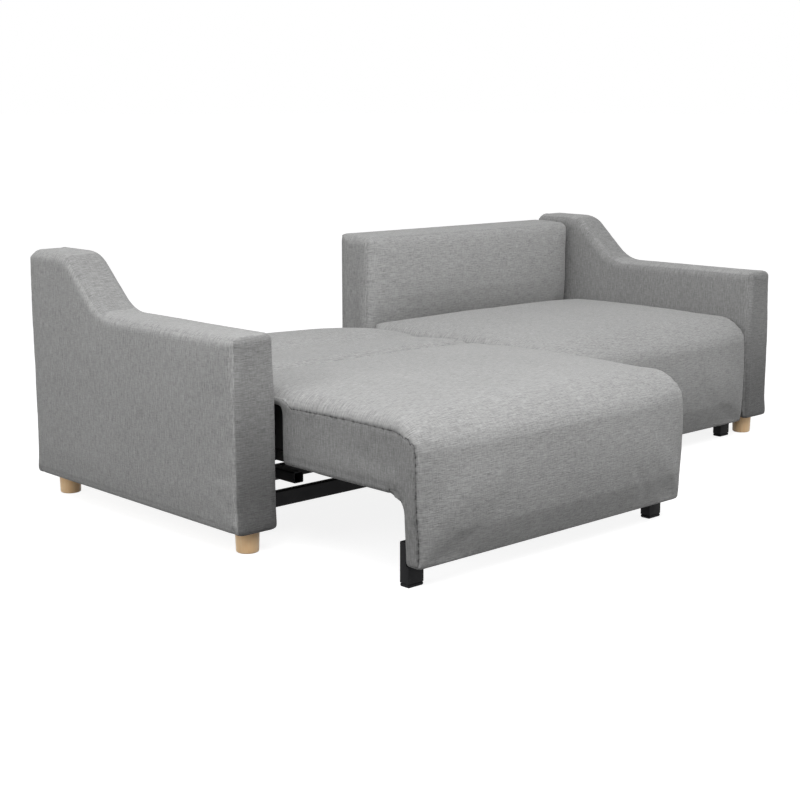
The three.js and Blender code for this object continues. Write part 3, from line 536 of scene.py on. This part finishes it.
def padded_piece(kind, node, name, body, material, home, back_home, form, seed, cap, gain, pucker):
    """One padded piece. form gives its rounded places, what is held, sewn and lined, and its painted shade.

    home takes places to where the right-hand upright piece stands, and back_home takes them back.
    """
    piece = even_net(node, name, fine_voxel)
    mesh = piece.data
    rest = form(home(places_of(mesh)))
    places = rest["places"]
    if kind not in settled_swellings:
        net = even_net(node, node + "_net", coarse_voxel)
        coarse = form(home(places_of(net.data)))
        set_places(net.data, coarse["places"])
        settled_swellings[kind] = (coarse["places"], swelling(net, coarse["held"], cap, gain))
        bpy.data.objects.remove(net)
    moves = carried(places, *settled_swellings[kind]) - places
    places = places + moves * rest["loose"][:, None]
    places = places + rest.get("sag", 0.0)
    set_places(mesh, back_home(places))
    normals = normals_of(mesh)
    seams = rest["seam"]
    near_seam = np.exp(-np.abs(seams) / pucker_reach)
    tangent = places[:, 1] * rest["inward"][:, 1] - places[:, 2] * rest["inward"][:, 0]
    ridge_places = np.stack([tangent, seams * ridge_along_seam, places[:, 0] * ridge_along_width], 1)
    ridges = noise_at(ridge_places, ridge_scale, seed)
    rise = ripple_height * noise_at(places, ripple_scale, seed + 1) \
        + fine_ripple_height * noise_at(places, fine_ripple_scale, seed + 2)
    rise += pucker * near_seam * ridges \
        - pucker * seam_sink_share * np.exp(-(seams / seam_sink_width) ** 2)
    set_places(mesh, back_home(places) + normals * (rise * (1.0 - rest["held"]) * rest["loose"])[:, None])
    for label in ("seam", "panel", "shade", "around"):
        mesh.attributes.new(label, "FLOAT", "POINT").data.foreach_set("value", rest[label].astype(np.float32))
    mesh.materials.clear()
    mesh.materials.append(material)
    mesh.materials.append(felt_lining)
    centres = home(mesh_values(mesh.polygons, "center", 3))
    facing = home(mesh_values(mesh.polygons, "normal", 3), True)
    mesh.polygons.foreach_set("material_index", rest["lining"](centres, facing).astype(np.int32))
    mesh.polygons.foreach_set("use_smooth", np.ones(len(mesh.polygons), bool))
    mesh.update()
    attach(piece, body)
    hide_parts(node)


outlines_of = {}


def outlines_for(node, middle, half, inset):
    """A piece's side outlines near its inner end, near its outer end and at its middle."""
    if node not in outlines_of:
        planes = (middle - half + inset, middle + half - inset, middle)
        outlines_of[node] = [side_outline(node, plane) for plane in planes]
    return outlines_of[node]


def ease(value, low, high):
    share = np.clip((value - low) / (high - low), 0, 1)
    return share * share * (3 - 2 * share)


arm_low, arm_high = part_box("right_arm_cover")
arm_middle, arm_half = (arm_low.x + arm_high.x) / 2, (arm_high.x - arm_low.x) / 2


def arm_form(places):
    outlines = outlines_for("right_arm_cover", arm_middle, arm_half, arm_outline_inset)

    def radius_for(at, inward):
        top = ease(-inward[:, 1], *arm_top_facing)
        front = (inward[:, 0] > facing_partly) * ease(at[:, 2], *arm_front_round_band)
        radius = arm_edge_round + (arm_round - arm_edge_round) * np.maximum(top, front)
        return np.where(inward[:, 1] > facing_mostly, arm_hem_round, radius)

    made, _, inward, around = rounded_over(places, arm_middle, arm_half, outlines, radius_for)
    seam = np.abs(places[:, 0] - arm_middle) - (arm_half - arm_seam_inset)
    panel = (seam > 0) * 1.0
    # strip marks the cloth strip up the front, whose colour gets painted shade.
    strip = (1 - panel) * (inward[:, 0] > facing_partly)
    # low grows towards the floor and darkens the cloth there: painted shade.
    low = 1 - ease(places[:, 2], *arm_shade_band)
    # off_corner measures from the top front corner, round which the strip gets painted shade.
    off_corner = (places[:, 1] - arm_low.y) ** 2 + (places[:, 2] - arm_corner_height) ** 2
    # shade multiplies the cloth colour: painted shade towards the floor, on the front strip and round its top
    # corner, and on the inner side panel.
    shade = 1.0 - arm_low_shade * low - strip * (arm_strip_shade + arm_strip_low_shade * low) \
        - arm_corner_shade * np.exp(-off_corner / arm_corner_reach ** 2) * strip \
        - arm_inner_shade * panel * (places[:, 0] < arm_middle)
    off_middle = (places[:, 0] - arm_middle) / arm_half
    made[:, 0] += off_middle * np.where(off_middle > 0, arm_outer_growth, arm_inner_growth)
    made[:, 1] += np.interp(places[:, 1], (arm_low.y, arm_high.y), (-arm_front_growth, arm_rear_growth))
    made[:, 2] += arm_top_growth * ease(places[:, 2], *arm_top_growth_band)
    loose = ease(places[:, 2], arm_low.z, arm_low.z + arm_hem_stiff)
    loose = loose * (1 - arm_inner_stiffness * (off_middle < -arm_inner_share))

    def lining(centres, facing):
        return (facing[:, 2] < -facing_nearly) & (centres[:, 2] < arm_low.z + arm_lining_height)

    return {"places": made, "held": (places[:, 2] < arm_low.z + arm_hem_held) * 1.0, "inward": inward,
            "loose": loose, "around": around, "seam": seam, "panel": panel, "shade": shade,
            "lining": lining}


cloth_arm = cloth_material("slub_cloth_arm", arm_seam_depth)
for side, sign, seed in (("right", 1, 11), ("left", -1, 3)):
    mirrored = np.array([sign, 1.0, 1.0])
    padded_piece(
        "arm", f"{side}_arm_cover", f"{side}_arm", "base", cloth_arm,
        home=lambda p, facing=False, m=mirrored: p * m,
        back_home=lambda p, m=mirrored: p * m,
        form=arm_form, seed=seed, cap=arm_swell, gain=arm_gain, pucker=arm_pucker)

# Each seat is one long foam block with a skirt down its front. The cloth over its top
# and front is one width, sewn to the end panels, which pucker along the seam. The
# recess behind the outer end panel and the underside are lined with black felt.
seat_swell = 0.005
seat_gain = np.array([0.4, 1.0, 0.5])
seat_pucker = 0.0014
seat_seam_depth = 1.0
seat_outline_inset = 0.0155
seat_top_facing = (0.2, 0.9)
seat_top_round = 0.037
seat_top_round_front_share = 0.75
seat_top_round_band = (0.06, 0.30)
seat_edge_round = 0.020
seat_hem_round = 0.005
seat_hem_stiff = 0.05
seat_rear_round = 0.035
seat_rear_stiff = 0.06
seat_upper_from = 0.34
seat_droop = 0.017
seat_droop_reach = (0.10, 0.09)
seat_droop_band = (0.30, 0.39)
seat_rear_fall = 0.006
seat_rear_fall_reach = 0.045
seat_rear_clearance = 0.0035
seat_rear_clearance_band = (0.32, 0.36)
seat_outer_growth = 0.006
seat_inner_growth = 0.003
seat_front_growth = 0.006
seat_front_bulge = 0.010
seat_front_bottom = 0.056
seat_front_height = 0.334
seat_foot_taper = 0.006
seat_foot_taper_share = 0.4
seat_seam_inset = 0.010
seat_seam_drop = 0.022
seat_seam_rear_drop = 0.008
seat_seam_drop_ends = (0.10, 0.05)
seat_seam_at_hem = -0.08
seat_panel_border = 0.004
seat_panel_slope = 3
seat_guide_share = 0.9
seat_guide_band = (0.11, 0.18)
seat_guide_top_band = (0.335, 0.375)
# Painted shade: seat_low_shade darkens the seat's cloth colour towards the floor.
seat_shade_band = (0.06, 0.36)
seat_low_shade = 0.08
# Painted shade: the end panels' colour is darkened, the outer one, which faces the arm, much more than the
# inner one.
seat_outer_panel_shade = 0.26
seat_inner_panel_shade = 0.06
seat_recess_depth = 0.030
seat_outer_recess_top = 0.362
seat_inner_recess_top = 0.334
seat_inner_recess_depth = 0.016
seat_outer_edge = 0.02
seat_inner_edge = 0.006
seat_under_inset = 0.025
held_overlap = 0.006
seat_lining_inset = 0.014
lining_overlap = 0.004
felt_overlap = 0.003
facing_skirt_back = 0.6
seat_low, seat_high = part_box("right_seat_cushion")
seat_middle, seat_half = (seat_low.x + seat_high.x) / 2, (seat_high.x - seat_low.x) / 2
frame_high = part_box("right_seat_frame")[1]
side_panel_rear = 0.26525
skirt_inner = -0.16475
skirt_thickness = 0.02
joints = {joint["name"]: joint for joint in frame["record"]["behaviour"]["joints"]}
seat_travel = joints["right_seat_slide"]["range_m"][1]


def rear_corners_rounded(made, places, from_end, from_rear):
    """Rounds the upright edges at the seat's rear as seen from above."""
    beyond, behind = seat_rear_round - from_end, seat_rear_round - from_rear
    reach = np.hypot(beyond, behind)
    cut = (beyond > 0) & (behind > 0) & (reach > seat_rear_round) & (places[:, 2] > seat_upper_from)
    keep = np.where(cut, seat_rear_round / np.maximum(reach, 1e-9), 1.0)
    made[:, 0] -= np.sign(places[:, 0] - seat_middle) * np.where(cut, beyond * (1 - keep), 0)
    made[:, 1] -= np.where(cut, behind * (1 - keep), 0)


def seat_lining(centres, facing):
    x, y, z = centres.T
    inside = np.abs(x - seat_middle) < seat_half - seat_lining_inset
    below = inside & (y > skirt_inner + lining_overlap) & (z < frame_high.z + lining_overlap)
    below &= facing[:, 2] < -facing_partly
    behind = y > side_panel_rear - felt_overlap
    hollow = behind & (z < seat_outer_recess_top + lining_overlap) & (x < seat_high.x - lining_overlap)
    hollow &= x > seat_middle + seat_half - seat_recess_depth - lining_overlap
    inner = behind & (z < seat_inner_recess_top) & (x > seat_low.x + lining_overlap)
    inner &= x < seat_low.x + seat_inner_recess_depth
    skirt_back = (y > skirt_inner - felt_overlap) & (y < skirt_inner + skirt_thickness)
    skirt_back &= facing[:, 1] > facing_skirt_back
    return below | hollow | inner | skirt_back


def seat_form(places, drawn_out):
    outlines = outlines_for("right_seat_cushion", seat_middle, seat_half, seat_outline_inset)
    round_from, round_to = (seat_low.y + step for step in seat_top_round_band)

    def radius_for(at, inward):
        top = ease(-inward[:, 1], *seat_top_facing)
        back = ease(at[:, 1], round_from, round_to)
        share = seat_top_round_front_share + (1 - seat_top_round_front_share) * back
        radius = seat_edge_round + (seat_top_round - seat_edge_round) * top * share
        hem = (inward[:, 1] > facing_partly) | (inward[:, 0] < -facing_mostly)
        return np.where(hem, seat_hem_round, radius)

    made, depth, inward, around = rounded_over(places, seat_middle, seat_half, outlines, radius_for)
    hem = (inward[:, 1] > facing_partly) | (inward[:, 0] < -facing_mostly)
    outer = places[:, 0] > seat_middle
    from_end = seat_half - np.abs(places[:, 0] - seat_middle)
    from_rear = seat_high.y - places[:, 1]
    if drawn_out:
        end_reach, rear_reach = seat_droop_reach
        corner = np.exp(-np.maximum(from_end, 0) / end_reach) * np.exp(-np.maximum(from_rear, 0) / rear_reach)
        made[:, 2] -= seat_droop * corner * ease(places[:, 2], *seat_droop_band)
        rear_edge = (1 - ease(from_rear, 0, seat_rear_fall_reach)) * (places[:, 2] > seat_upper_from)
        made[:, 2] -= seat_rear_fall * rear_edge
    rear_edge = (1 - ease(from_rear, 0, seat_rear_stiff)) * ease(places[:, 2], *seat_rear_clearance_band)
    made[:, 1] -= seat_rear_clearance * rear_edge
    rear_corners_rounded(made, places, from_end, from_rear)

    front_step, rear_step = seat_seam_drop_ends
    rearward = ease(places[:, 1], seat_low.y + front_step, seat_high.y - rear_step)
    drop = (seat_seam_drop + seat_seam_rear_drop * rearward) * ease(-inward[:, 1], *seat_top_facing)
    inset = np.where(hem, seat_seam_at_hem, seat_seam_inset + drop)
    seam = np.minimum(depth - inset, (seat_panel_border - from_end) * seat_panel_slope)

    under = (places[:, 1] > skirt_inner - lining_overlap) & (places[:, 2] < frame_high.z + held_overlap)
    behind = places[:, 1] > side_panel_rear - held_overlap
    recess = behind & outer & (places[:, 2] < seat_outer_recess_top) & (from_end > seat_outer_edge)
    recess |= behind & ~outer & (places[:, 2] < seat_inner_recess_top) & (from_end > seat_inner_edge)
    held = (under & (from_end > seat_under_inset)) | recess
    off_middle = (places[:, 0] - seat_middle) / seat_half
    beside_guide = ease(places[:, 1], *seat_guide_band) * (1 - ease(places[:, 2], *seat_guide_top_band))
    beside_guide = beside_guide * (np.abs(off_middle) > seat_guide_share)
    growth = np.where(outer, seat_outer_growth, seat_inner_growth)
    made[:, 0] += off_middle * growth * (1 - beside_guide) * (1 - recess)
    upward = np.clip((places[:, 2] - seat_front_bottom) / seat_front_height, 0, 1)
    taper = seat_foot_taper * (1 - ease(upward, 0.0, seat_foot_taper_share))
    made[:, 0] -= off_middle * taper * (places[:, 1] < skirt_inner)
    forward = np.clip((skirt_inner - places[:, 1]) / (skirt_inner - seat_low.y), 0, 1)
    made[:, 1] -= forward * (seat_front_growth + seat_front_bulge * np.sin(math.pi * upward))

    loose = np.where(hem, ease(depth, 0.0, seat_hem_stiff), 1.0) * ease(from_rear, 0.0, seat_rear_stiff)
    # low darkens the cloth towards the floor: painted shade.
    low = 1 - ease(places[:, 2], *seat_shade_band)
    # panel_shade darkens the end panels: painted shade.
    panel_shade = np.where(outer, seat_outer_panel_shade, seat_inner_panel_shade)
    return {"places": made, "held": held * 1.0, "inward": inward, "loose": loose * (1 - beside_guide),
            "around": around, "seam": seam, "panel": (seam > 0) * 1.0,
            "shade": 1.0 - seat_low_shade * low - panel_shade * (seam > 0), "lining": seat_lining}


cloth_seat = cloth_material("slub_cloth_seat", seat_seam_depth)
for side, sign, drawn, seed in (("right", 1, 0.0, 29), ("left", -1, seat_travel, 21)):
    mirrored, shift = np.array([sign, 1.0, 1.0]), np.array([0.0, drawn, 0.0])
    padded_piece(
        "seat", f"{side}_seat_cushion", f"{side}_seat_pad", f"{side}_seat", cloth_seat,
        home=lambda p, facing=False, m=mirrored, s=shift: p * m + (0 if facing else s),
        back_home=lambda p, m=mirrored, s=shift: (p - s) * m,
        form=lambda p, d=drawn: seat_form(p, d > 0),
        seed=seed, cap=seat_swell, gain=seat_gain, pucker=seat_pucker)

# Each back is a foam block on a slim frame, with a boxed border: its front panel is
# sewn to a strip that makes its ends and its top and is stapled behind the frame.
back_swell = 0.004
back_gain = np.array([0.3, 1.0, 0.6])
back_pucker = 0.0008
back_seam_depth = 0.25
back_outline_inset = 0.0185
back_round = 0.030
back_edge_round = 0.018
back_rear_round = 0.008
back_end_fall = 0.009
back_end_fall_reach = 0.14
back_end_fall_power = 1.6
back_toe_fall = 0.006
back_toe_reach = 0.045
back_toe_stiff = 0.06
back_toe_free = 0.02
back_frontness_band = (0.03, 0.13)
back_lain_on_sag = 0.024
back_sag_reach = 0.30
back_sag_power = 1.5
back_sag_band = (0.05, 0.45)
back_flap = 0.036
back_flap_bottom = 0.192
back_flap_band = (0.198, 0.298)
back_flap_edge = (0.130, 0.095)
back_flap_thickness = 0.0085
back_flap_step = 0.004
back_outer_growth = 0.003
back_inner_growth = 0.003
back_front_growth = 0.003
back_front_growth_band = (0.18, 0.30)
back_top_growth = 0.007
back_top_growth_reach = 0.20
back_guide_band = (0.035, 0.075)
back_guide_reach = 0.04
back_seam_inset = 0.011
back_end_border = 0.005
back_top_border = 0.006
back_panel_slope = 3
# Painted shade: the back's end panels are darkened a little.
back_panel_shade = 0.05
back_frame_depth = 0.026
back_hem_stiff = 0.05
back_plate_top = 0.205
back_plate_reach = 0.02
back_plate_front = 0.02
back_lining_depth = 0.035
back_lining_inset = 0.006
back_notch_top = 0.202
back_notch_reach = (0.004, 0.015)
back_notch_front = 0.04
back_thickness_before_pivot = 0.1055
back_low, back_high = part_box("right_back_cushion")
back_middle, back_half = (back_low.x + back_high.x) / 2, (back_high.x - back_low.x) / 2
pivot_y, pivot_z = joints["right_back_fold"]["pos_m"][1:]
back_front = pivot_y - back_thickness_before_pivot


def back_lining(centres, facing):
    aside = np.abs(centres[:, 0] - back_middle)
    behind = (centres[:, 1] > back_high.y - back_lining_depth) & (facing[:, 1] > facing_mostly)
    behind &= aside < back_half - back_lining_inset
    least, most = back_notch_reach
    notch = (centres[:, 2] - back_low.z < back_notch_top) & (aside > back_half - most)
    notch &= (aside < back_half - least) & (centres[:, 1] > back_front + back_notch_front)
    return behind | notch


def back_form(places, lain_on):
    outlines = outlines_for("right_back_cushion", back_middle, back_half, back_outline_inset)

    def radius_for(at, inward):
        front = (inward[:, 0] > facing_partly) | (inward[:, 1] < -facing_mostly)
        rest = np.where(inward[:, 0] < -facing_mostly, back_rear_round, back_edge_round)
        return np.where(front, back_round, rest)

    made, depth, inward, around = rounded_over(places, back_middle, back_half, outlines, radius_for)
    from_end = back_half - np.abs(places[:, 0] - back_middle)
    in_depth = places[:, 1] - back_front
    up = places[:, 2] - back_low.z
    frontness = ease(back_high.y - places[:, 1], *back_frontness_band)
    near_end = np.clip(1 - from_end / back_end_fall_reach, 0, 1)
    fall = back_end_fall * near_end ** back_end_fall_power
    fall += back_toe_fall * (1 - ease(up, 0.0, back_toe_reach))
    made[:, 1] += fall * frontness
    sag = np.zeros_like(places)
    if lain_on:
        from_inner_end = np.maximum(places[:, 0] - back_low.x, 0)
        inner_end = np.exp(-(from_inner_end / back_sag_reach) ** back_sag_power)
        sag[:, 1] = back_lain_on_sag * inner_end * ease(up, *back_sag_band) * frontness

    flap_front, flap_rear = (back_high.y - step for step in back_flap_edge)
    over_plate = 1 - ease(up, *back_flap_band)
    over_plate *= ease(places[:, 1], flap_front, flap_rear) * (up > back_flap_bottom)
    made[:, 2] -= back_flap * over_plate * np.clip((back_flap_thickness - from_end) / back_flap_step, 0, 1)

    border = np.maximum(back_end_border - from_end, places[:, 2] - (back_high.z - back_top_border))
    seam = np.minimum(in_depth - back_seam_inset, border * back_panel_slope)
    panel = (from_end < back_end_border) & (in_depth > back_seam_inset)
    off_middle = (places[:, 0] - back_middle) / back_half
    beside_guide = ease(in_depth, *back_guide_band) * (from_end < back_guide_reach)
    growth = np.where(off_middle > 0, back_outer_growth, back_inner_growth)
    made[:, 0] += off_middle * growth * (1 - beside_guide)
    made[:, 1] -= back_front_growth * frontness * ease(up, *back_front_growth_band)
    made[:, 2] += back_top_growth * ease(places[:, 2], back_high.z - back_top_growth_reach, back_high.z)
    held = (back_high.y - places[:, 1] < back_frame_depth) & (up > back_toe_free)
    held |= (up < back_plate_top) & (from_end < back_plate_reach) & (in_depth > back_plate_front)

    rear = (inward[:, 0] < -facing_mostly) | (inward[:, 1] > facing_mostly)
    loose = np.where(rear, ease(depth, 0.0, back_hem_stiff), 1.0) * ease(up, 0.0, back_toe_stiff)
    # The shade returned darkens the end panels: painted shade.
    return {"places": made, "held": held * 1.0, "inward": inward, "loose": loose * (1 - beside_guide),
            "around": around, "sag": sag, "seam": seam, "panel": panel * 1.0,
            "shade": 1.0 - back_panel_shade * panel, "lining": back_lining}


def laid_down(places, drawn=0.0):
    """The upright back's places taken to the level back's, about the pivot."""
    made = places.copy()
    if drawn:
        made[:, 1] = pivot_y - drawn + (places[:, 2] - pivot_z)
        made[:, 2] = pivot_z - (places[:, 1] - pivot_y)
    return made


def stood_up(places, facing=False, drawn=0.0):
    """The level back's places, or its directions, taken to the upright back's."""
    made = places.copy()
    if drawn and facing:
        made[:, 1], made[:, 2] = -places[:, 2], places[:, 1]
    elif drawn:
        made[:, 1] = pivot_y - (places[:, 2] - pivot_z)
        made[:, 2] = pivot_z + (places[:, 1] - (pivot_y - drawn))
    return made


cloth_back = cloth_material("slub_cloth_back", back_seam_depth)
cloth_back_level = cloth_material("slub_cloth_back_level", back_seam_depth, turn=math.pi / 2)
for side, sign, drawn, seed, cloth in (("right", 1, 0.0, 43, cloth_back),
                                       ("left", -1, seat_travel, 37, cloth_back_level)):
    mirrored = np.array([sign, 1.0, 1.0])
    padded_piece(
        "back", f"{side}_back_cushion", f"{side}_back_pad", f"{side}_back", cloth,
        home=lambda p, facing=False, m=mirrored, d=drawn: stood_up(p * m, facing, d),
        back_home=lambda p, m=mirrored, d=drawn: laid_down(p, d) * m,
        form=lambda p, d=drawn: back_form(p, d > 0),
        seed=seed, cap=back_swell, gain=back_gain, pucker=back_pucker)

# The turned feet are beech under a clear satin lacquer. Each is a short, slightly
# tapered cylinder with rounded rims, screwed up into the arm's base board.
foot_steps = 64
foot_taper = 0.002
foot_rim_round = 0.004
foot_rim_least_radius = 0.02
foot_rim_longest_edge = 0.005
beech_pale = (0.98, 0.72, 0.43, 1)
beech_deep = (0.93, 0.58, 0.29, 1)

turned_beech, tree = new_material("turned_beech")
place = shader_node(tree, "TexCoord").outputs["Object"]
stretched = shader_node(tree, "Mapping", Vector=place, Scale=(1.0, 1.0, 0.12)).outputs[0]
rings = noise_of(tree, stretched, 95.0, 3.0)
grain = noise_of(tree, stretched, 420.0, 2.0)
flecks = shader_node(tree, "TexVoronoi", Vector=stretched, Scale=520.0).outputs["Distance"]
share = value_mix(tree, 0.35, spread(tree, rings, 0.3, 0.7), spread(tree, grain, 0.3, 0.7))
share = maths(tree, "ADD", share, spread(tree, flecks, 0.0, 0.22, 0.30, 0.0))
wood = colour_mix(tree, share, beech_pale, beech_deep)
bump = shader_node(tree, "Bump", Height=grain, Strength=0.25, Distance=0.0003)
shader = shader_node(tree, "BsdfPrincipled", Base_Color=wood,
                     Roughness=spread(tree, grain, 0.2, 0.8, 0.38, 0.52), Normal=bump.outputs[0],
                     Coat_Weight=0.15, Coat_Roughness=0.3)
shader_node(tree, "OutputMaterial", Surface=shader.outputs[0])


def finished(shape, name, material, crease=40.0):
    bmesh.ops.remove_doubles(shape, verts=shape.verts, dist=0.000005)
    bmesh.ops.recalc_face_normals(shape, faces=shape.faces)
    for face in shape.faces:
        face.smooth = True
    for edge in shape.edges:
        edge.smooth = len(edge.link_faces) < 2 or edge.calc_face_angle(0.0) < math.radians(crease)
    mesh = bpy.data.meshes.new(name)
    shape.to_mesh(mesh)
    shape.free()
    mesh.materials.append(material)
    piece = bpy.data.objects.new(name, mesh)
    bpy.context.scene.collection.objects.link(piece)
    return piece


for side in ("left", "right"):
    for end in ("front", "rear"):
        node = f"{side}_{end}_foot"
        low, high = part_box(node)
        middle = (low + high) / 2
        top_radius = (high.x - low.x) / 2
        sole_radius = top_radius - foot_taper
        shape = bmesh.new()
        profile = [(0, 0), (sole_radius, 0), (top_radius, high.z), (0, high.z)]
        corners = [shape.verts.new((middle.x + radius, middle.y, height)) for radius, height in profile]
        edges = [shape.edges.new(pair) for pair in zip(corners, corners[1:])]
        bmesh.ops.spin(shape, geom=corners + edges, cent=(middle.x, middle.y, 0), axis=(0, 0, 1),
                       angle=2 * math.pi, steps=foot_steps, use_merge=True)
        bmesh.ops.remove_doubles(shape, verts=shape.verts, dist=0.000005)
        rims = [edge for edge in shape.edges
                if abs(edge.verts[0].co.z - edge.verts[1].co.z) < 1e-6
                and (edge.verts[0].co - edge.verts[1].co).length < foot_rim_longest_edge
                and min((v.co.xy - middle.xy).length for v in edge.verts) > foot_rim_least_radius]
        bmesh.ops.bevel(shape, geom=rims, offset=foot_rim_round, segments=4, profile=0.5,
                        affect="EDGES", material=-1)
        foot = finished(shape, f"{side}_{end}_turned_foot", turned_beech)
        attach(foot, "base")
        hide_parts(node)

# The frames inside the backs and the boards in the arms are planed pine, left bare,
# and the frames under the seats are the same timber stained black.
pine_pale = (0.62, 0.45, 0.27, 1)
pine_deep = (0.45, 0.29, 0.14, 1)
stain_pale = (0.030, 0.028, 0.026, 1)
stain_deep = (0.012, 0.011, 0.010, 1)


def planed_timber(name, pale, deep):
    material, tree = new_material(name)
    place = shader_node(tree, "TexCoord").outputs["Object"]
    stretched = shader_node(tree, "Mapping", Vector=place, Scale=(0.10, 1.0, 1.0)).outputs[0]
    bands = noise_of(tree, stretched, 60.0, 2.0)
    grain = noise_of(tree, stretched, 380.0, 3.0)
    share = value_mix(tree, 0.4, spread(tree, bands, 0.35, 0.65), spread(tree, grain, 0.3, 0.7))
    bump = shader_node(tree, "Bump", Height=grain, Strength=0.3, Distance=0.0004)
    shader = shader_node(tree, "BsdfPrincipled", Base_Color=colour_mix(tree, share, pale, deep),
                         Roughness=spread(tree, grain, 0.2, 0.8, 0.6, 0.78), Normal=bump.outputs[0])
    shader_node(tree, "OutputMaterial", Surface=shader.outputs[0])
    return material


def finish_nodes(slot, material):
    for row in frame["record"]["subparts"]:
        if row["material_slot"] == slot:
            cad = frame["nodes"][row["node"]]
            cad.data.materials.clear()
            cad.data.materials.append(material)


finish_nodes("frame_timber", planed_timber("planed_pine", pine_pale, pine_deep))
finish_nodes("stained_timber", planed_timber("stained_pine", stain_pale, stain_deep))
finish_nodes("beech", turned_beech)
finish_nodes("grey_fabric", cloth_seat)

# The rails, beam, guide and pivot arms are steel tube and plate under a matt black
# powder coat with a faint orange-peel surface.
coat_black = (0.005, 0.005, 0.006, 1)
coat_worn = (0.011, 0.011, 0.012, 1)
black_coat, tree = new_material("black_powder_coat")
place = shader_node(tree, "TexCoord").outputs["Object"]
peel = noise_of(tree, place, 700.0, 2.0)
rub = noise_of(tree, place, 22.0, 4.0, 0.6)
coat = colour_mix(tree, spread(tree, rub, 0.52, 0.72), coat_black, coat_worn)
bump = shader_node(tree, "Bump", Height=peel, Strength=0.25, Distance=0.0002)
shader = shader_node(tree, "BsdfPrincipled", Base_Color=coat,
                     Roughness=spread(tree, rub, 0.3, 0.7, 0.66, 0.54), Specular_IOR_Level=0.2,
                     Normal=bump.outputs[0])
shader_node(tree, "OutputMaterial", Surface=shader.outputs[0])
finish_nodes("black_steel", black_coat)

# The side plates, pins and roller brackets are bright zinc-plated steel, brushed
# before plating.
zinc_pale = (0.60, 0.61, 0.62, 1)
zinc_deep = (0.40, 0.41, 0.42, 1)
bright_zinc, tree = new_material("bright_zinc_plate")
place = shader_node(tree, "TexCoord").outputs["Object"]
stretched = shader_node(tree, "Mapping", Vector=place, Scale=(1.0, 0.06, 1.0)).outputs[0]
brushed = noise_of(tree, stretched, 900.0, 2.0)
stain = noise_of(tree, place, 35.0, 3.0)
metal = colour_mix(tree, spread(tree, stain, 0.4, 0.7), zinc_pale, zinc_deep)
bump = shader_node(tree, "Bump", Height=brushed, Strength=0.2, Distance=0.0001)
shader = shader_node(tree, "BsdfPrincipled", Base_Color=metal, Metallic=1.0,
                     Roughness=spread(tree, brushed, 0.2, 0.8, 0.30, 0.45), Normal=bump.outputs[0])
shader_node(tree, "OutputMaterial", Surface=shader.outputs[0])
finish_nodes("zinc_steel", bright_zinc)


# The glides, centre foot, legs and guide pins are moulded black nylon, and the rollers
# and arm guides are natural nylon, both with a fine spark-eroded skin.
def nylon(name, pale, deep):
    material, tree = new_material(name)
    place = shader_node(tree, "TexCoord").outputs["Object"]
    skin = noise_of(tree, place, 1100.0, 2.0)
    scuff = noise_of(tree, place, 60.0, 4.0, 0.65)
    colour = colour_mix(tree, spread(tree, scuff, 0.5, 0.75), pale, deep)
    bump = shader_node(tree, "Bump", Height=skin, Strength=0.2, Distance=0.00015)
    shader = shader_node(tree, "BsdfPrincipled", Base_Color=colour, Specular_IOR_Level=0.18,
                         Roughness=spread(tree, scuff, 0.3, 0.7, 0.62, 0.74), Normal=bump.outputs[0])
    shader_node(tree, "OutputMaterial", Surface=shader.outputs[0])
    return material


black_nylon = nylon("black_nylon", (0.007, 0.007, 0.008, 1), (0.014, 0.014, 0.015, 1))
finish_nodes("black_nylon", black_nylon)
finish_nodes("white_nylon", nylon("natural_nylon", (0.74, 0.74, 0.70, 1), (0.60, 0.59, 0.54, 1)))

# The legs behind the skirts are short black blocks. Each has a plate that is bolted to
# the skirt's rear and a heel that reaches under the skirt's edge.
leg_round = 0.0018
heel_reach = 0.009
heel_top = 0.0497
for side in ("left", "right"):
    for end in ("outer", "inner"):
        node = f"{side}_{end}_leg"
        low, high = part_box(node)
        front = low.y + heel_reach
        outline = [(low.y, low.z), (high.y, low.z), (high.y, high.z), (front, high.z), (front, heel_top),
                   (low.y, heel_top)]
        shape = bmesh.new()
        face = shape.faces.new([shape.verts.new((low.x, y, z)) for y, z in outline])
        grown = bmesh.ops.extrude_face_region(shape, geom=[face])["geom"]
        bmesh.ops.translate(shape, vec=(high.x - low.x, 0, 0),
                            verts=[part for part in grown if isinstance(part, bmesh.types.BMVert)])
        bmesh.ops.recalc_face_normals(shape, faces=shape.faces)
        bmesh.ops.bevel(shape, geom=list(shape.edges), offset=leg_round, segments=3, profile=0.5,
                        affect="EDGES", material=-1)
        leg = finished(shape, f"{side}_{end}_leg_block", black_nylon)
        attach(leg, f"{side}_seat")
        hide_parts(node)
